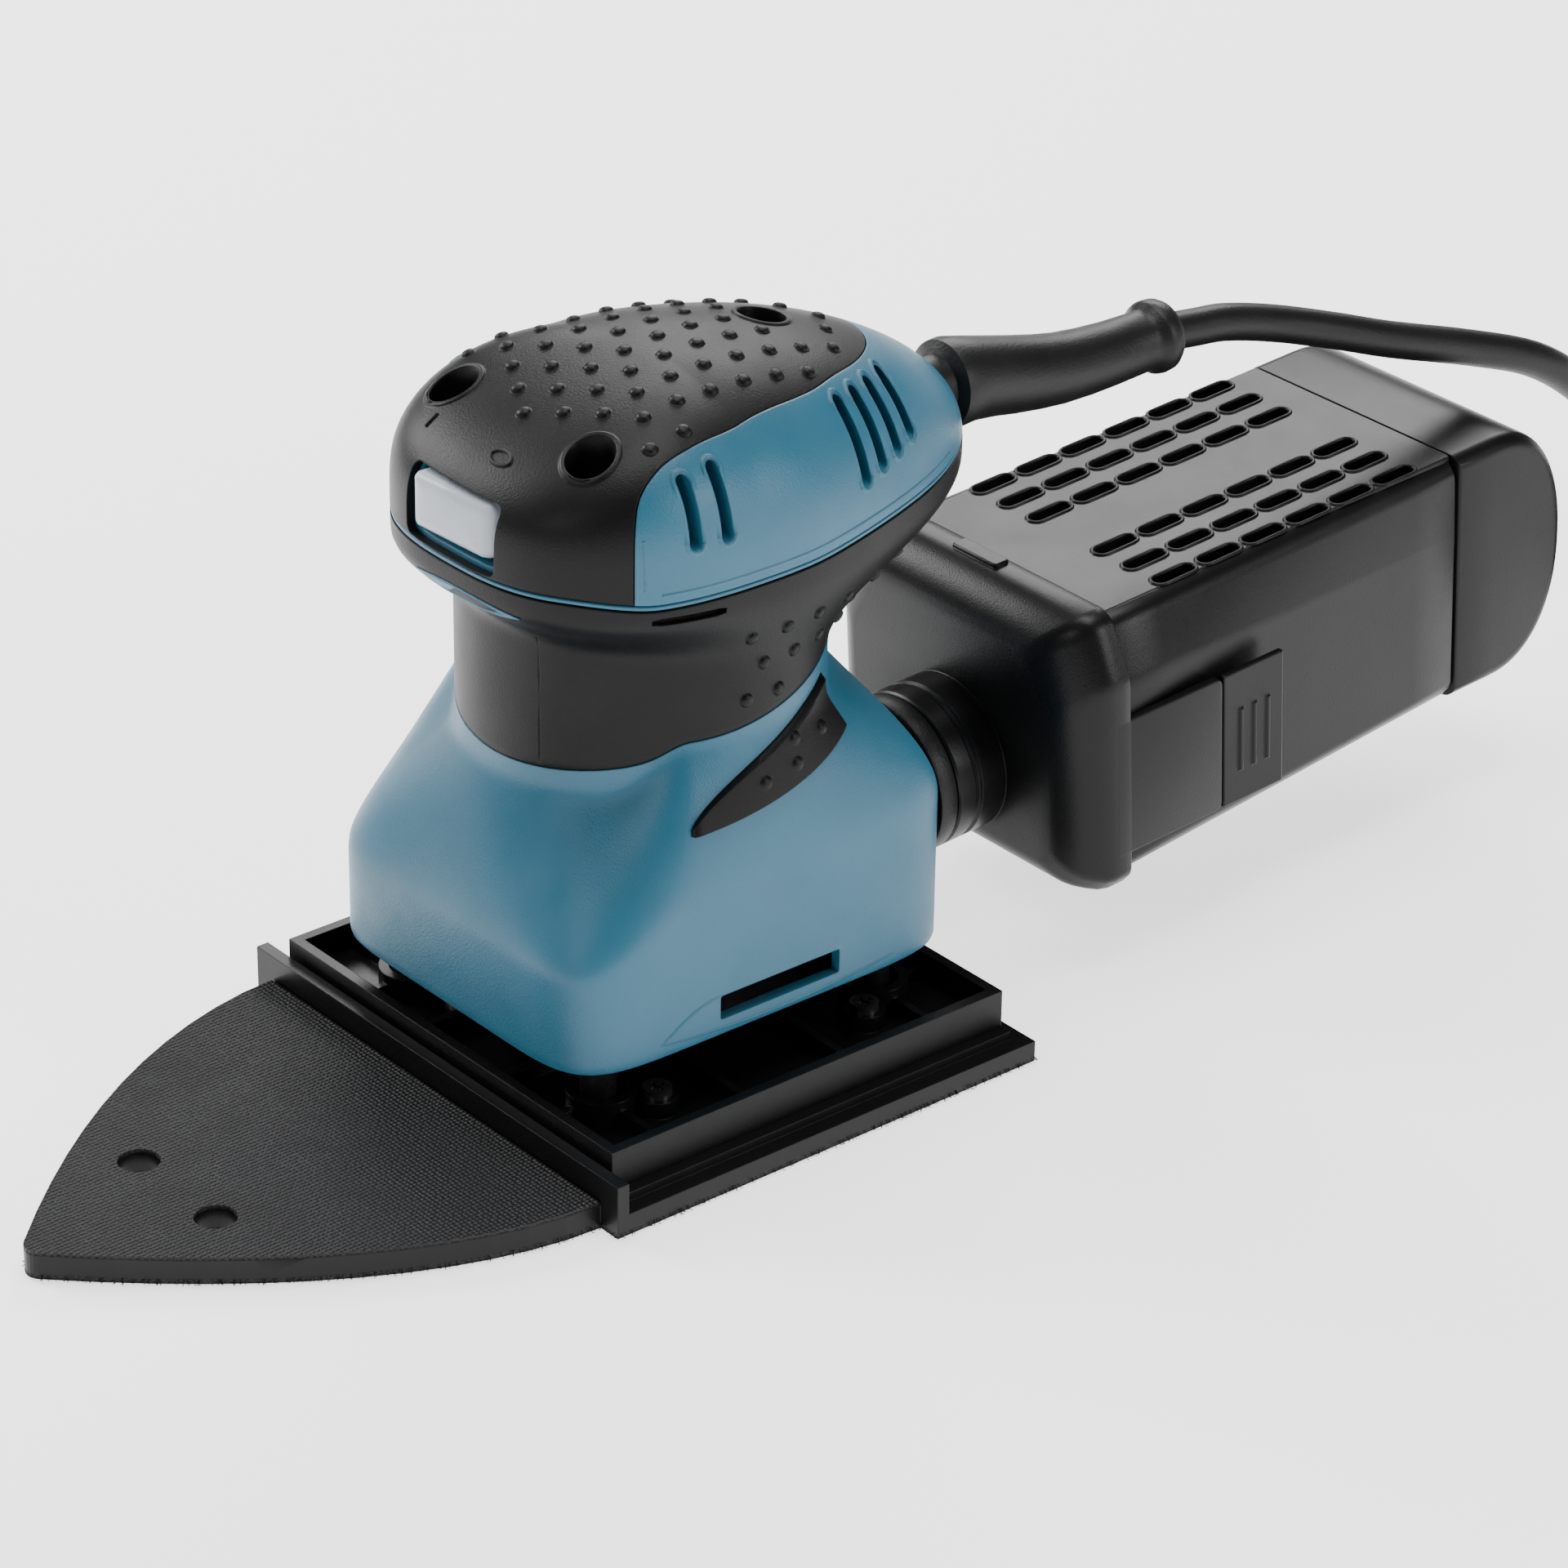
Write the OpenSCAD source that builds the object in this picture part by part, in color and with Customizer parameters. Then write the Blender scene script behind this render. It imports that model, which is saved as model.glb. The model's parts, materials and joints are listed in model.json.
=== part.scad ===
// Palm-grip detail sander: an iron-shaped orbiting pad under an upright motor housing,
// with a slide-on dust box at the rear. The floor is z = 0 and the motor axis is x = y = 0.
// The tip points towards -Y and the cord and dust box towards +Y.

/* [Pad] */
// Width of the pad
pad_w = 112; // [100:1:140]
// Length of the rectangular part of the pad
pad_rect_l = 100.8; // [90:1:130]
// Length of the pointed tip in front of the rectangle
tip_l = 89.2; // [60:1:120]
// Width of the tip where it leaves the rectangle
tip_w = 102; // [80:1:110]
// Nose radius of the tip
tip_r = 3.2; // [2:0.2:6]
// Thickness of the hook layer under the pad
hook_t = 1; // [0.6:0.1:2]
// Thickness of the pad plate
plate_t = 3.4; // [2.5:0.1:5]
// Thickness of the tip plate
tip_t = 4; // [3:0.1:5]
// Height of the raised step that carries the base frame
step_h = 1.8; // [1:0.1:3]
// Height of the front flange above the plate
flange_h = 6.4; // [4:0.2:10]
// Thickness of the front flange
flange_t = 2.6; // [2:0.1:4]
// Diameter of the two dust holes in the tip
tip_hole_d = 8; // [5:0.5:11]
// Half the spacing of the two dust holes
tip_hole_x = 12.2; // [9:0.1:16]
// Distance of the dust holes in front of the rectangle
tip_hole_y = 57; // [40:1:70]

/* [Base frame] */
// Width of the base frame
base_w = 100; // [92:1:108]
// Length of the base frame
base_l = 94; // [88:1:98]
// Height of the base frame's rim above the pad plate
base_h = 7.7; // [7:0.1:12]
// Wall of the base frame
base_wall = 2.2; // [1.6:0.1:3]
// Half spacing of the four support legs, across
leg_x = 29; // [27:0.5:30]
// Half spacing of the four support legs, along
leg_y = 33; // [30:0.5:34]
// Radius of a support leg
leg_r = 3.5; // [2.5:0.1:4.5]

/* [Drive] */
// Offset of the eccentric pin: half of the orbit diameter
ecc = 0.75; // [0.5:0.05:1.2]
// Radius of the motor shaft and of its eccentric pin
shaft_r = 4; // [3:0.5:5]
// Radius of the ball bearings on the shaft
bearing_r = 11; // [9:0.5:13]
// Height of the ball bearings
bearing_h = 7; // [5:0.5:9]
// Radius of the fan
fan_r = 28; // [22:1:30]
// Radius of the armature core
arm_r = 15.5; // [12:0.5:18]
// Length of the armature core
arm_l = 34; // [24:1:40]

/* [Housing] */
// Width of the skirt
skirt_w = 80; // [74:1:88]
// Reach of the skirt in front of the motor axis
skirt_front = 45.5; // [42:0.5:50]
// Reach of the skirt behind the motor axis
skirt_rear = 46.5; // [42:0.5:50]
// Radius of the neck over its grip sleeve
neck_r = 34.5; // [32:0.5:38]
// Height of the parting line between housing and head
part_z = 111; // [106:1:118]
// Wall of the blue shells
wall = 2.5; // [2:0.1:3.2]
// Thickness of the black grip skins
skin = 1.8; // [1.2:0.1:2.4]

/* [Head] */
// Width of the head
head_w = 77; // [72:1:84]
// Reach of the head in front of the motor axis
head_front = 44; // [42:0.5:48]
// Reach of the head behind the motor axis
head_rear = 72; // [66:0.5:82]
// Height of the head's crown
head_top = 143.6; // [138:0.2:150]
// Width of the switch window
window_w = 25; // [20:0.5:28]
// Height of the switch window
window_h = 12.4; // [9:0.2:15]

/* [Dust box] */
// Upward tilt of the dust spout and box, in degrees
box_pitch = 3.7; // [0:0.1:6]
// Inner radius of the dust spout
spout_bore = 11.4; // [9:0.1:12]
// Width of the dust box's lid
lid_w = 61; // [50:1:66]
// Width of the box at its front
box_front_w = 72.4; // [68:0.2:73]
// Length of the box from its front shell to the end cap
box_l = 96; // [80:1:120]
// Height of the lid above the spout's axis
lid_z = 36; // [32:1:42]
// Depth of the box below the spout's axis
box_low = 19.4; // [16:0.2:22]
// Wall of the dust box
box_wall = 2; // [1.6:0.1:2.6]

/* [Cord] */
// Diameter of the mains lead
cord_d = 7.6; // [6:0.2:8.4]
// Length of the cord guard
guard_l = 64; // [50:1:80]

/* [Hidden] */
$fn = 48;

gap = 0.3;              // running gap between pieces of different bodies
fit = 0.05;             // radial clearance of a shaft in its bore
overlay_gap = 0.25;     // gap under the leaf inlays
hair = 0.02;            // a skin stays this far off the shell it lies on

// ---- heights of the drive line ----
plate_top = hook_t + plate_t;
tip_top = hook_t + tip_t;
frame_z = plate_top + step_h;
frame_floor = 2;
frame_top = frame_z + base_h;
hub_r = bearing_r + 6;
pin_seat_z = frame_z + frame_floor + 0.4;      // underside of the pad bearing
pin_top_z = pin_seat_z + bearing_h;
cap_t = 1.5;
cap_screw_head = 1.6;
web_z = pin_top_z + cap_t + cap_screw_head + gap;
web_t = 1.8;
weight_z = web_z + web_t;
weight_t = 4;
fan_z = weight_z + weight_t + 0.8;
fan_h = 10.5;
skirt_z = frame_top + 7.6;                     // lower edge of the skirt
plate_z = fan_z + fan_h + 3;                   // bearing plate
plate_th = 2.5;
low_bearing_z = plate_z + plate_th;
arm_z = low_bearing_z + bearing_h + 6;
arm_top = arm_z + arm_l;
field_gap = 0.5;
coil_h = 5;
comm_z = arm_top + 6;
comm_h = 10.5;
comm_r = 10;
bridge_z = comm_z + comm_h - 0.5;
bridge_t = 2.5;
top_bearing_r = 9.5;
top_bearing_h = 6;
top_pin_r = 3;
boss_ring_r = 29.3;                            // circle of the four inner bosses
boss_r = 3;
field_r = boss_ring_r - boss_r - gap;
screw_r = 1.5;

// ---- surfaces of the housing, as radius by direction a and height z ----
columns = 48;
skirt_n = 7;
head_front_n = 2.7;
head_rear_n = 1.85;
shoulder_front = 41;
shoulder_rear = 50;
neck_front = 68;
neck_rear = 78;
collar_front = 98;
collar_rear = 84;
lip_h = 3.5;                                   // upright lip under the parting line

function mix(a, b, t) = a + (b - a) * t;
function unit(t) = max(0, min(1, t));
function ease(t) = t * t * (3 - 2 * t);
function super_r(a, w, l, n) = pow(pow(abs(cos(a)) / w, n) + pow(abs(sin(a)) / l, n), -1 / n);
function front_share(a) = ease(unit((-sin(a) - 0.4) / 0.4));
function rear_share(a) = (1 + sin(a)) / 2;
function skirt_at(a) = super_r(a, skirt_w / 2, sin(a) < 0 ? skirt_front : skirt_rear, skirt_n);
function head_at(a) = sin(a) < 0
    ? super_r(a, head_w / 2, head_front, head_front_n)
    : super_r(a, head_w / 2, head_rear, head_rear_n);
function shoulder_z(a) = mix(shoulder_rear, shoulder_front, front_share(a));
function neck_z(a) = mix(neck_rear, neck_front, front_share(a));
function collar_z(a) = mix(collar_front, collar_rear, ease(rear_share(a)));
function cove(t) = pow(t, 1.35);
function bulge(t) = pow(t, 1.6);
function skirt_blend(a, t) = mix(bulge(t), cove(t), front_share(a));
function collar_blend(t) = ease(unit(t));
function body_r(a, z) =
    z <= shoulder_z(a) ? skirt_at(a)
    : z < neck_z(a)
    ? mix(skirt_at(a), neck_r, skirt_blend(a, (z - shoulder_z(a)) / (neck_z(a) - shoulder_z(a))))
    : z < collar_z(a) ? neck_r
    : mix(neck_r, head_at(a), collar_blend((z - collar_z(a)) / (part_z - lip_h - collar_z(a))));
// Lower edge of the black grip sleeve: low in front, rising to the sides and rear
sleeve_low = 71;
sleeve_high = 88;
function sleeve_z(a) = mix(sleeve_low, sleeve_high, pow(rear_share(a), 0.9));

function ring(r_of, z_of) = [for (i = [0:columns - 1]) let (a = 360 * i / columns)
    [r_of(a) * cos(a), r_of(a) * sin(a), z_of(a)]];
function body_ring(inset, z_of) = ring(function (a) body_r(a, z_of(a)) - inset, z_of);

// ---- head dome: s = 1 on the parting line, 0 at the middle ----
crown_y = 12;
crown_drop = 7;
function crown_z(y) = head_top - crown_drop * pow((y - crown_y) / 39, 2) * (y < crown_y ? 1 : 0.35);
function dome_n(a) = mix(mix(2.6, 2.1, unit(sin(a))), 6, pow(unit(-sin(a)), 1.5));
function dome_point(a, s, inset) =
    let (r = s * (head_at(a) - inset), y = r * sin(a), n = dome_n(a))
    [r * cos(a), y, part_z + (crown_z(y) - part_z - inset) * pow(1 - pow(s, n), 1 / n)];
dome_steps = [1, 0.985, 0.95, 0.9, 0.82, 0.7, 0.55, 0.38, 0.2];
function dome_rings(inset) = [for (s = dome_steps) [for (i = [0:columns - 1])
    dome_point(360 * i / columns, s, inset)]];

// ---- meshes from rings ----
function flat(lists) = [for (l = lists) each l];
// From row "turn" on, each quad is split along its other diagonal
function quads(rows, n, closed, turn = 999) = [for (k = [0:closed ? rows - 1 : rows - 2])
    let (m = (k + 1) % rows) for (i = [0:n - 1]) let (j = (i + 1) % n)
    each k < turn ? [[k * n + i, k * n + j, m * n + j], [k * n + i, m * n + j, m * n + i]]
        : [[k * n + i, k * n + j, m * n + i], [k * n + j, m * n + j, m * n + i]]];
// A hollow ring-shaped shell: the last ring joins the first
module ring_shell(rings, turn = 999) {
    faces = [for (f = quads(len(rings), len(rings[0]), true, turn)) [f[2], f[1], f[0]]];
    polyhedron(flat(rings), faces, convexity = 8);
}
// A skin between an outer and an inner dome
module dome_shell(outer, inner) {
    rows = dome_rings(outer);
    under = dome_rings(inner);
    rings = concat([for (k = [len(rows) - 1:-1:0]) rows[k]], under);
    n = columns;
    last = len(rings) * n;
    top = [0, 0, crown_z(0) - outer];
    low = [0, 0, crown_z(0) - inner];
    fan_top = [for (i = [0:n - 1]) [last, i, (i + 1) % n]];
    fan_low = [for (i = [0:n - 1]) [last + 1, last - n + (i + 1) % n, last - n + i]];
    sides = [for (f = quads(len(rings), n, false)) [f[2], f[1], f[0]]];
    flip = concat(fan_top, sides, fan_low);
    polyhedron(concat(flat(rings), [top, low]), [for (f = flip) [f[2], f[1], f[0]]], convexity = 8);
}
// A tube of changing radius along a list of points
function dir_at(p, i) = let (v = p[min(i + 1, len(p) - 1)] - p[max(i - 1, 0)]) v / norm(v);
function side_at(d) = let (s = cross(d, [0, 0, 1]), u = norm(s) < 0.01 ? [1, 0, 0] : s) u / norm(u);
module sweep(points, radii, sides) {
    rings = [for (i = [0:len(points) - 1]) let (d = dir_at(points, i), u = side_at(d), w = cross(d, u))
        [for (k = [0:sides - 1]) let (a = 360 * k / sides)
            points[i] + radii[i] * (cos(a) * u + sin(a) * w)]];
    n = sides;
    ends = [[for (k = [n - 1:-1:0]) k], [for (k = [0:n - 1]) (len(points) - 1) * n + k]];
    polyhedron(flat(rings), concat(ends, quads(len(points), n, false)), convexity = 6);
}

// ======================= pad and base =======================
rect_front = -pad_rect_l / 2;
tip_power = 1.8;                               // how quickly the tip draws in from its root
tip_reach = tip_l + tip_r * (sqrt(2) - 1);      // where the two sides would cross
tip_cut = tip_r / sqrt(2);                      // the nose arc starts this far before that point
// Half of the tip's outline: a side that draws in faster and faster, then the small nose arc
function tip_half() = concat(
    [for (k = [0:12]) let (t = (1 - tip_cut / tip_reach) * k / 12)
        [tip_w / 2 * (1 - pow(t, tip_power)), rect_front - tip_reach * t]],
    [for (k = [1:3]) let (a = 45 + 15 * k)
        [tip_r * cos(a), rect_front - tip_l + tip_r - tip_r * sin(a)]]);
function mirrored(p) = concat(p, [for (k = [len(p) - 2:-1:0]) [-p[k][0], p[k][1]]]);
tip_root = 2;                                  // how far the tip runs under the flange
module tip_shape() polygon(concat([[-tip_w / 2, rect_front + tip_root], [tip_w / 2, rect_front + tip_root]],
    mirrored(tip_half())));
module tip_holes() for (x = [-tip_hole_x, tip_hole_x])
    translate([x, rect_front - tip_hole_y, -1]) cylinder(d = tip_hole_d, h = 20);
module rect_plate(inset, z, h) translate([-pad_w / 2 + inset, rect_front + inset, z])
    cube([pad_w - 2 * inset, pad_rect_l - 2 * inset, h]);
step_inset = 3.4;
pad_screw_x = 35.5;
pad_screw_y = 25;
module at_pad_screws() for (x = [-pad_screw_x, pad_screw_x], y = [-pad_screw_y, pad_screw_y])
    translate([x, y, 0]) children();
// The pad moves round the motor axis, so its own middle sits one eccentricity away
module on_pad() translate([0, ecc, 0]) children();

module hook_pad() color([0.1, 0.1, 0.1]) on_pad() difference() {
    union() {
        linear_extrude(hook_t) tip_shape();
        rect_plate(0, 0, hook_t);
    }
    tip_holes();
}

module pad_plate() color([0.08, 0.08, 0.08]) on_pad() difference() {
    union() {
        translate([0, 0, hook_t]) linear_extrude(tip_t) tip_shape();
        rect_plate(0, hook_t, plate_t);
        rect_plate(step_inset, plate_top, step_h);
        translate([-pad_w / 2, rect_front, hook_t]) cube([pad_w, flange_t, plate_t + flange_h]);
    }
    tip_holes();
    translate([0, 0, plate_top]) cylinder(r = bearing_r - 3, h = 20);
    at_pad_screws() translate([0, 0, hook_t + 1]) cylinder(r = screw_r + fit, h = 20);
}

tip_hook_t = 0.7;
module hook_pad_tip() color([0.09, 0.09, 0.09]) on_pad() difference() {
    intersection() {
        translate([0, 0, tip_top]) linear_extrude(tip_hook_t) tip_shape();
        translate([-pad_w, rect_front - pad_w, 0]) cube([2 * pad_w, pad_w - gap, 20]);
    }
    tip_holes();
}

base_front = -base_l / 2;
rib_t = 1.6;
socket_wall = 2;
socket_r = leg_r + ecc + 0.4;
rib_y = 12;
rib_h = base_h - 3;
// A straight rib of the base frame along X or Y between two points
module rib(x0, y0, x1, y1) translate([min(x0, x1) - (x0 == x1 ? rib_t / 2 : 0),
    min(y0, y1) - (y0 == y1 ? rib_t / 2 : 0), frame_z])
    cube([max(abs(x1 - x0), rib_t), max(abs(y1 - y0), rib_t), rib_h]);
module at_legs() for (x = [-leg_x, leg_x], y = [-leg_y, leg_y]) translate([x, y, 0]) children();
module base_frame() color([0.08, 0.08, 0.08]) on_pad() difference() {
    union() {
        difference() {
            translate([-base_w / 2, base_front, frame_z]) cube([base_w, base_l, base_h]);
            translate([-base_w / 2 + base_wall, base_front + base_wall, frame_z + frame_floor])
                cube([base_w - 2 * base_wall, base_l - 2 * base_wall, base_h]);
        }
        translate([0, 0, frame_z]) cylinder(r = hub_r, h = pin_top_z - frame_z);
        at_legs() translate([0, 0, frame_z]) cylinder(r = socket_r + socket_wall, h = base_h - 1);
        at_pad_screws() translate([0, 0, frame_z]) cylinder(r = 4, h = base_h - 2.4);
        for (x = [-1, 1], y = [-1, 1]) {
            rib(x * leg_x, y * leg_y, x * (base_w / 2 - 1), y * leg_y);
            rib(x * leg_x, y * leg_y, x * leg_x, y * (base_l / 2 - 1));
            rib(x * 15, y * rib_y, x * (base_w / 2 - 1), y * rib_y);
            rib(x * rib_y, y * 12, x * rib_y, y * (base_l / 2 - 1));
        }
    }
    translate([0, 0, -1]) cylinder(r = bearing_r - 3.4, h = 30);
    translate([0, 0, pin_seat_z]) cylinder(r = bearing_r + fit, h = 30);
    at_legs() translate([0, 0, frame_z + frame_floor]) cylinder(r = socket_r, h = 30);
    at_pad_screws() translate([0, 0, -1]) cylinder(r = screw_r + fit, h = 30);
    at_cap_screws() translate([0, 0, pin_seat_z + 1]) cylinder(r = screw_r + fit, h = 30);
}

pan_r = 2.8;
pan_h = 1.6;
module screw(z_head, length) {
    difference() {
        union() {
            translate([0, 0, z_head]) cylinder(r = pan_r, h = pan_h);
            translate([0, 0, z_head - length]) cylinder(r = screw_r, h = length);
        }
        for (a = [0, 90]) rotate(a) translate([-1.6, -0.4, z_head + pan_h - 0.9]) cube([3.2, 0.8, 2]);
    }
}
pad_screw_z = frame_z + base_h - 2.4;
module pad_screws() color([0.3, 0.3, 0.32]) on_pad() at_pad_screws()
    screw(pad_screw_z, pad_screw_z - hook_t - 1.2);

module ball_bearing(r_out, r_in, h) difference() {
    cylinder(r = r_out, h = h);
    translate([0, 0, -1]) cylinder(r = r_in, h = h + 2);
    for (z = [-1, h - 0.6]) translate([0, 0, z]) difference() {
        cylinder(r = mix(r_in, r_out, 0.72), h = 1.6);
        translate([0, 0, -1]) cylinder(r = mix(r_in, r_out, 0.32), h = 4);
    }
}
module pad_bearing() color("silver") on_pad() translate([0, 0, pin_seat_z])
    ball_bearing(bearing_r, shaft_r + fit, bearing_h);

cap_screw_ring = bearing_r + 3.2;
module at_cap_screws() for (a = [30, 150, 270]) rotate(a) translate([cap_screw_ring, 0, 0]) children();
module bearing_cap() color([0.55, 0.56, 0.58]) on_pad() difference() {
    translate([0, 0, pin_top_z]) cylinder(r = hub_r, h = cap_t);
    translate([0, 0, pin_top_z - 1]) cylinder(r = bearing_r - 2.4, h = 10);
    at_cap_screws() translate([0, 0, pin_top_z - 1]) cylinder(r = screw_r + fit, h = 10);
}
module cap_screws() color([0.3, 0.3, 0.32]) on_pad() at_cap_screws()
    screw(pin_top_z + cap_t, pin_top_z + cap_t - pin_seat_z - 1.2);

// ======================= rotor =======================
pin_bolt_r = 2;
washer_t = 0.8;
washer_r = 6;
bolt_head_h = 2.2;
module pin_washer() color("silver") on_pad() difference() {
    translate([0, 0, pin_seat_z - washer_t]) cylinder(r = washer_r, h = washer_t);
    translate([0, 0, 0]) cylinder(r = pin_bolt_r + fit, h = 20);
}
module pin_screw() color([0.3, 0.3, 0.32]) on_pad() difference() {
    union() {
        translate([0, 0, pin_seat_z - washer_t - bolt_head_h]) cylinder(r = 3.6, h = bolt_head_h);
        translate([0, 0, pin_seat_z - washer_t]) cylinder(r = pin_bolt_r, h = 8);
    }
    translate([0, 0, pin_seat_z - washer_t - bolt_head_h - 1]) cylinder(r = 1.6, h = 2.4, $fn = 6);
}

shaft_top = bridge_z + bridge_t + top_bearing_h + 0.4;
neck_top = bridge_z + bridge_t - 0.2;          // where the shaft steps down
module motor_shaft() color("silver") difference() {
    union() {
        on_pad() translate([0, 0, pin_seat_z]) cylinder(r = shaft_r, h = web_z - pin_seat_z + 0.5);
        translate([0, 0, web_z]) cylinder(r = shaft_r + 3, h = web_t);
        translate([0, 0, web_z]) cylinder(r = shaft_r, h = neck_top - web_z);
        translate([0, 0, web_z]) cylinder(r = top_pin_r, h = shaft_top - web_z);
    }
    on_pad() translate([0, 0, pin_seat_z - 1]) cylinder(r = pin_bolt_r + fit, h = 9.4);
}

weight_r = 19.2;
module counterweight() color([0.62, 0.56, 0.4]) translate([0, 0, weight_z]) difference() {
    union() {
        cylinder(r = 8, h = weight_t);
        intersection() {
            cylinder(r = weight_r, h = weight_t);
            translate([-weight_r, -weight_r, 0]) cube([2 * weight_r, weight_r, weight_t]);
        }
    }
    translate([0, 0, -1]) cylinder(r = shaft_r + fit, h = weight_t + 2);
}

blades = 11;
fan_disc_z = 3.4;
fan_disc_t = 1.4;
module fan() color([0.92, 0.92, 0.9]) translate([0, 0, fan_z]) difference() {
    union() {
        cylinder(r = 7.5, h = fan_h);
        translate([0, 0, fan_disc_z]) cylinder(r = fan_r, h = fan_disc_t);
        for (k = [0:blades - 1]) rotate(360 * k / blades) translate([9, -0.6, 0])
            cube([fan_r - 10, 1.2, fan_h]);
    }
    translate([0, 0, -1]) cylinder(r = shaft_r + fit, h = fan_h + 2);
}

slots = 12;
slot_w = 2.4;
slot_depth = 5;
module arm_slots() for (k = [0:slots - 1]) rotate(360 * k / slots)
    translate([arm_r - slot_depth, -slot_w / 2, -1]) cube([slot_depth - 0.8, slot_w, arm_l + 2]);
module armature_core() color([0.5, 0.5, 0.53]) translate([0, 0, arm_z]) difference() {
    cylinder(r = arm_r, h = arm_l);
    arm_slots();
    translate([0, 0, -1]) cylinder(r = shaft_r + fit, h = arm_l + 2);
}
end_turn_h = 4;
module armature_winding() color([0.75, 0.38, 0.16]) translate([0, 0, arm_z]) {
    for (k = [0:slots - 1]) rotate(360 * k / slots)
        translate([arm_r - slot_depth + 0.1, -slot_w / 2 + 0.1, 0])
            cube([slot_depth - 1, slot_w - 0.2, arm_l]);
    for (z = [-end_turn_h, arm_l]) translate([0, 0, z]) difference() {
        cylinder(r = arm_r - 0.6, h = end_turn_h);
        translate([0, 0, -1]) cylinder(r = shaft_r + 1, h = end_turn_h + 2);
    }
}
comm_bars = 24;
module commutator() color([0.8, 0.5, 0.3]) translate([0, 0, comm_z]) difference() {
    cylinder(r = comm_r, h = comm_h - 2);
    translate([0, 0, -1]) cylinder(r = shaft_r + fit, h = comm_h + 2);
    for (k = [0:comm_bars - 1]) rotate(360 * k / comm_bars)
        translate([comm_r - 0.8, -0.2, 1]) cube([2, 0.4, comm_h]);
}

// ======================= motor, fixed part =======================
boss_angles = [45, 135, 225, 315];
module at_bosses() for (a = boss_angles) rotate(a) translate([boss_ring_r, 0, 0]) children();

module lower_bearing() color("silver") translate([0, 0, low_bearing_z])
    ball_bearing(bearing_r, shaft_r + fit, bearing_h);
module upper_bearing() color("silver") translate([0, 0, bridge_z + bridge_t])
    ball_bearing(top_bearing_r, top_pin_r + fit, top_bearing_h);

plate_r = boss_ring_r + boss_r + 1.2;
module bearing_plate() color([0.62, 0.63, 0.65]) difference() {
    union() {
        translate([0, 0, plate_z]) cylinder(r = plate_r, h = plate_th);
        translate([0, 0, plate_z]) cylinder(r = bearing_r + 2.6, h = plate_th + bearing_h);
    }
    translate([0, 0, low_bearing_z]) cylinder(r = bearing_r + fit, h = 30);
    translate([0, 0, 0]) cylinder(r = bearing_r - 3, h = 100);
    at_bosses() cylinder(r = screw_r + fit, h = 100);
    for (a = [0:45:315]) rotate(a + 22.5) translate([20, 0, 0]) cylinder(r = 3.4, h = 60);
}
module plate_screws() color([0.3, 0.3, 0.32]) at_bosses() mirror([0, 0, 1]) screw(-plate_z, 9);

bridge_r = boss_ring_r + 0.2;
module bearing_bridge() color([0.16, 0.16, 0.17]) difference() {
    union() {
        translate([0, 0, bridge_z]) intersection() {
            cylinder(r = bridge_r, h = bridge_t);
            union() {
                rotate(45) translate([-50, -6, 0]) cube([100, 12, 20]);
                rotate(-45) translate([-50, -6, 0]) cube([100, 12, 20]);
                cylinder(r = 22, h = 20);
            }
        }
        translate([0, 0, bridge_z]) cylinder(r = top_bearing_r + 2.4, h = bridge_t + top_bearing_h);
    }
    translate([0, 0, bridge_z + bridge_t]) cylinder(r = top_bearing_r + fit, h = 30);
    translate([0, 0, bridge_z - 1]) cylinder(r = shaft_r + 2, h = 30);
}

coil_ring_r = (arm_r + field_gap + field_r) / 2 + 0.4;
coil_leg_r = 2.2;
module at_coil_legs() for (a = [0:45:315]) rotate(a) translate([coil_ring_r, 0, 0]) children();
module field_core() color([0.45, 0.45, 0.48]) difference() {
    translate([0, 0, arm_z]) cylinder(r = field_r, h = arm_l);
    translate([0, 0, arm_z - 1]) cylinder(r = arm_r + field_gap, h = arm_l + 2);
    at_coil_legs() translate([0, 0, arm_z - 1]) cylinder(r = coil_leg_r + fit, h = arm_l + 2);
}
module field_coils() color([0.78, 0.42, 0.18]) {
    at_coil_legs() translate([0, 0, arm_z - 1]) cylinder(r = coil_leg_r, h = arm_l + 2);
    for (z = [arm_z - coil_h, arm_top]) translate([0, 0, z]) difference() {
        cylinder(r = field_r - 1.2, h = coil_h);
        translate([0, 0, -1]) cylinder(r = arm_r + field_gap + 0.6, h = coil_h + 2);
    }
}

brush_z = comm_z + (comm_h - 2) / 2;
holder_in = comm_r + 1.4;
holder_out = 26;
brush_w = 5;
holder_w = 8.6;
module brush_side() for (s = [0, 180]) rotate(s) children();
module brush_holders() color([0.72, 0.6, 0.3]) brush_side() translate([0, 0, brush_z]) difference() {
    union() {
        translate([holder_in, -holder_w / 2, -holder_w / 2])
            cube([holder_out - holder_in, holder_w, holder_w]);
        translate([holder_in + 3, -holder_w / 2, 0]) cube([7, holder_w, bridge_z - brush_z]);
    }
    translate([0, -brush_w / 2 - fit, -brush_w / 2 - fit])
        cube([holder_out - 1.2, brush_w + 2 * fit, brush_w + 2 * fit]);
}
brush_l = 9;
module carbon_brushes() color([0.14, 0.14, 0.15]) brush_side()
    translate([comm_r + 0.1, -brush_w / 2, brush_z - brush_w / 2]) cube([brush_l, brush_w, brush_w]);
spring_r = 1.8;
module brush_springs() color("silver") brush_side() translate([comm_r + 0.1 + brush_l, 0, brush_z])
    rotate([0, 90, 0]) difference() {
        cylinder(r = spring_r, h = holder_out - 1.2 - comm_r - 0.1 - brush_l);
        translate([0, 0, -1]) cylinder(r = spring_r - 0.7, h = 40);
    }

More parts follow.
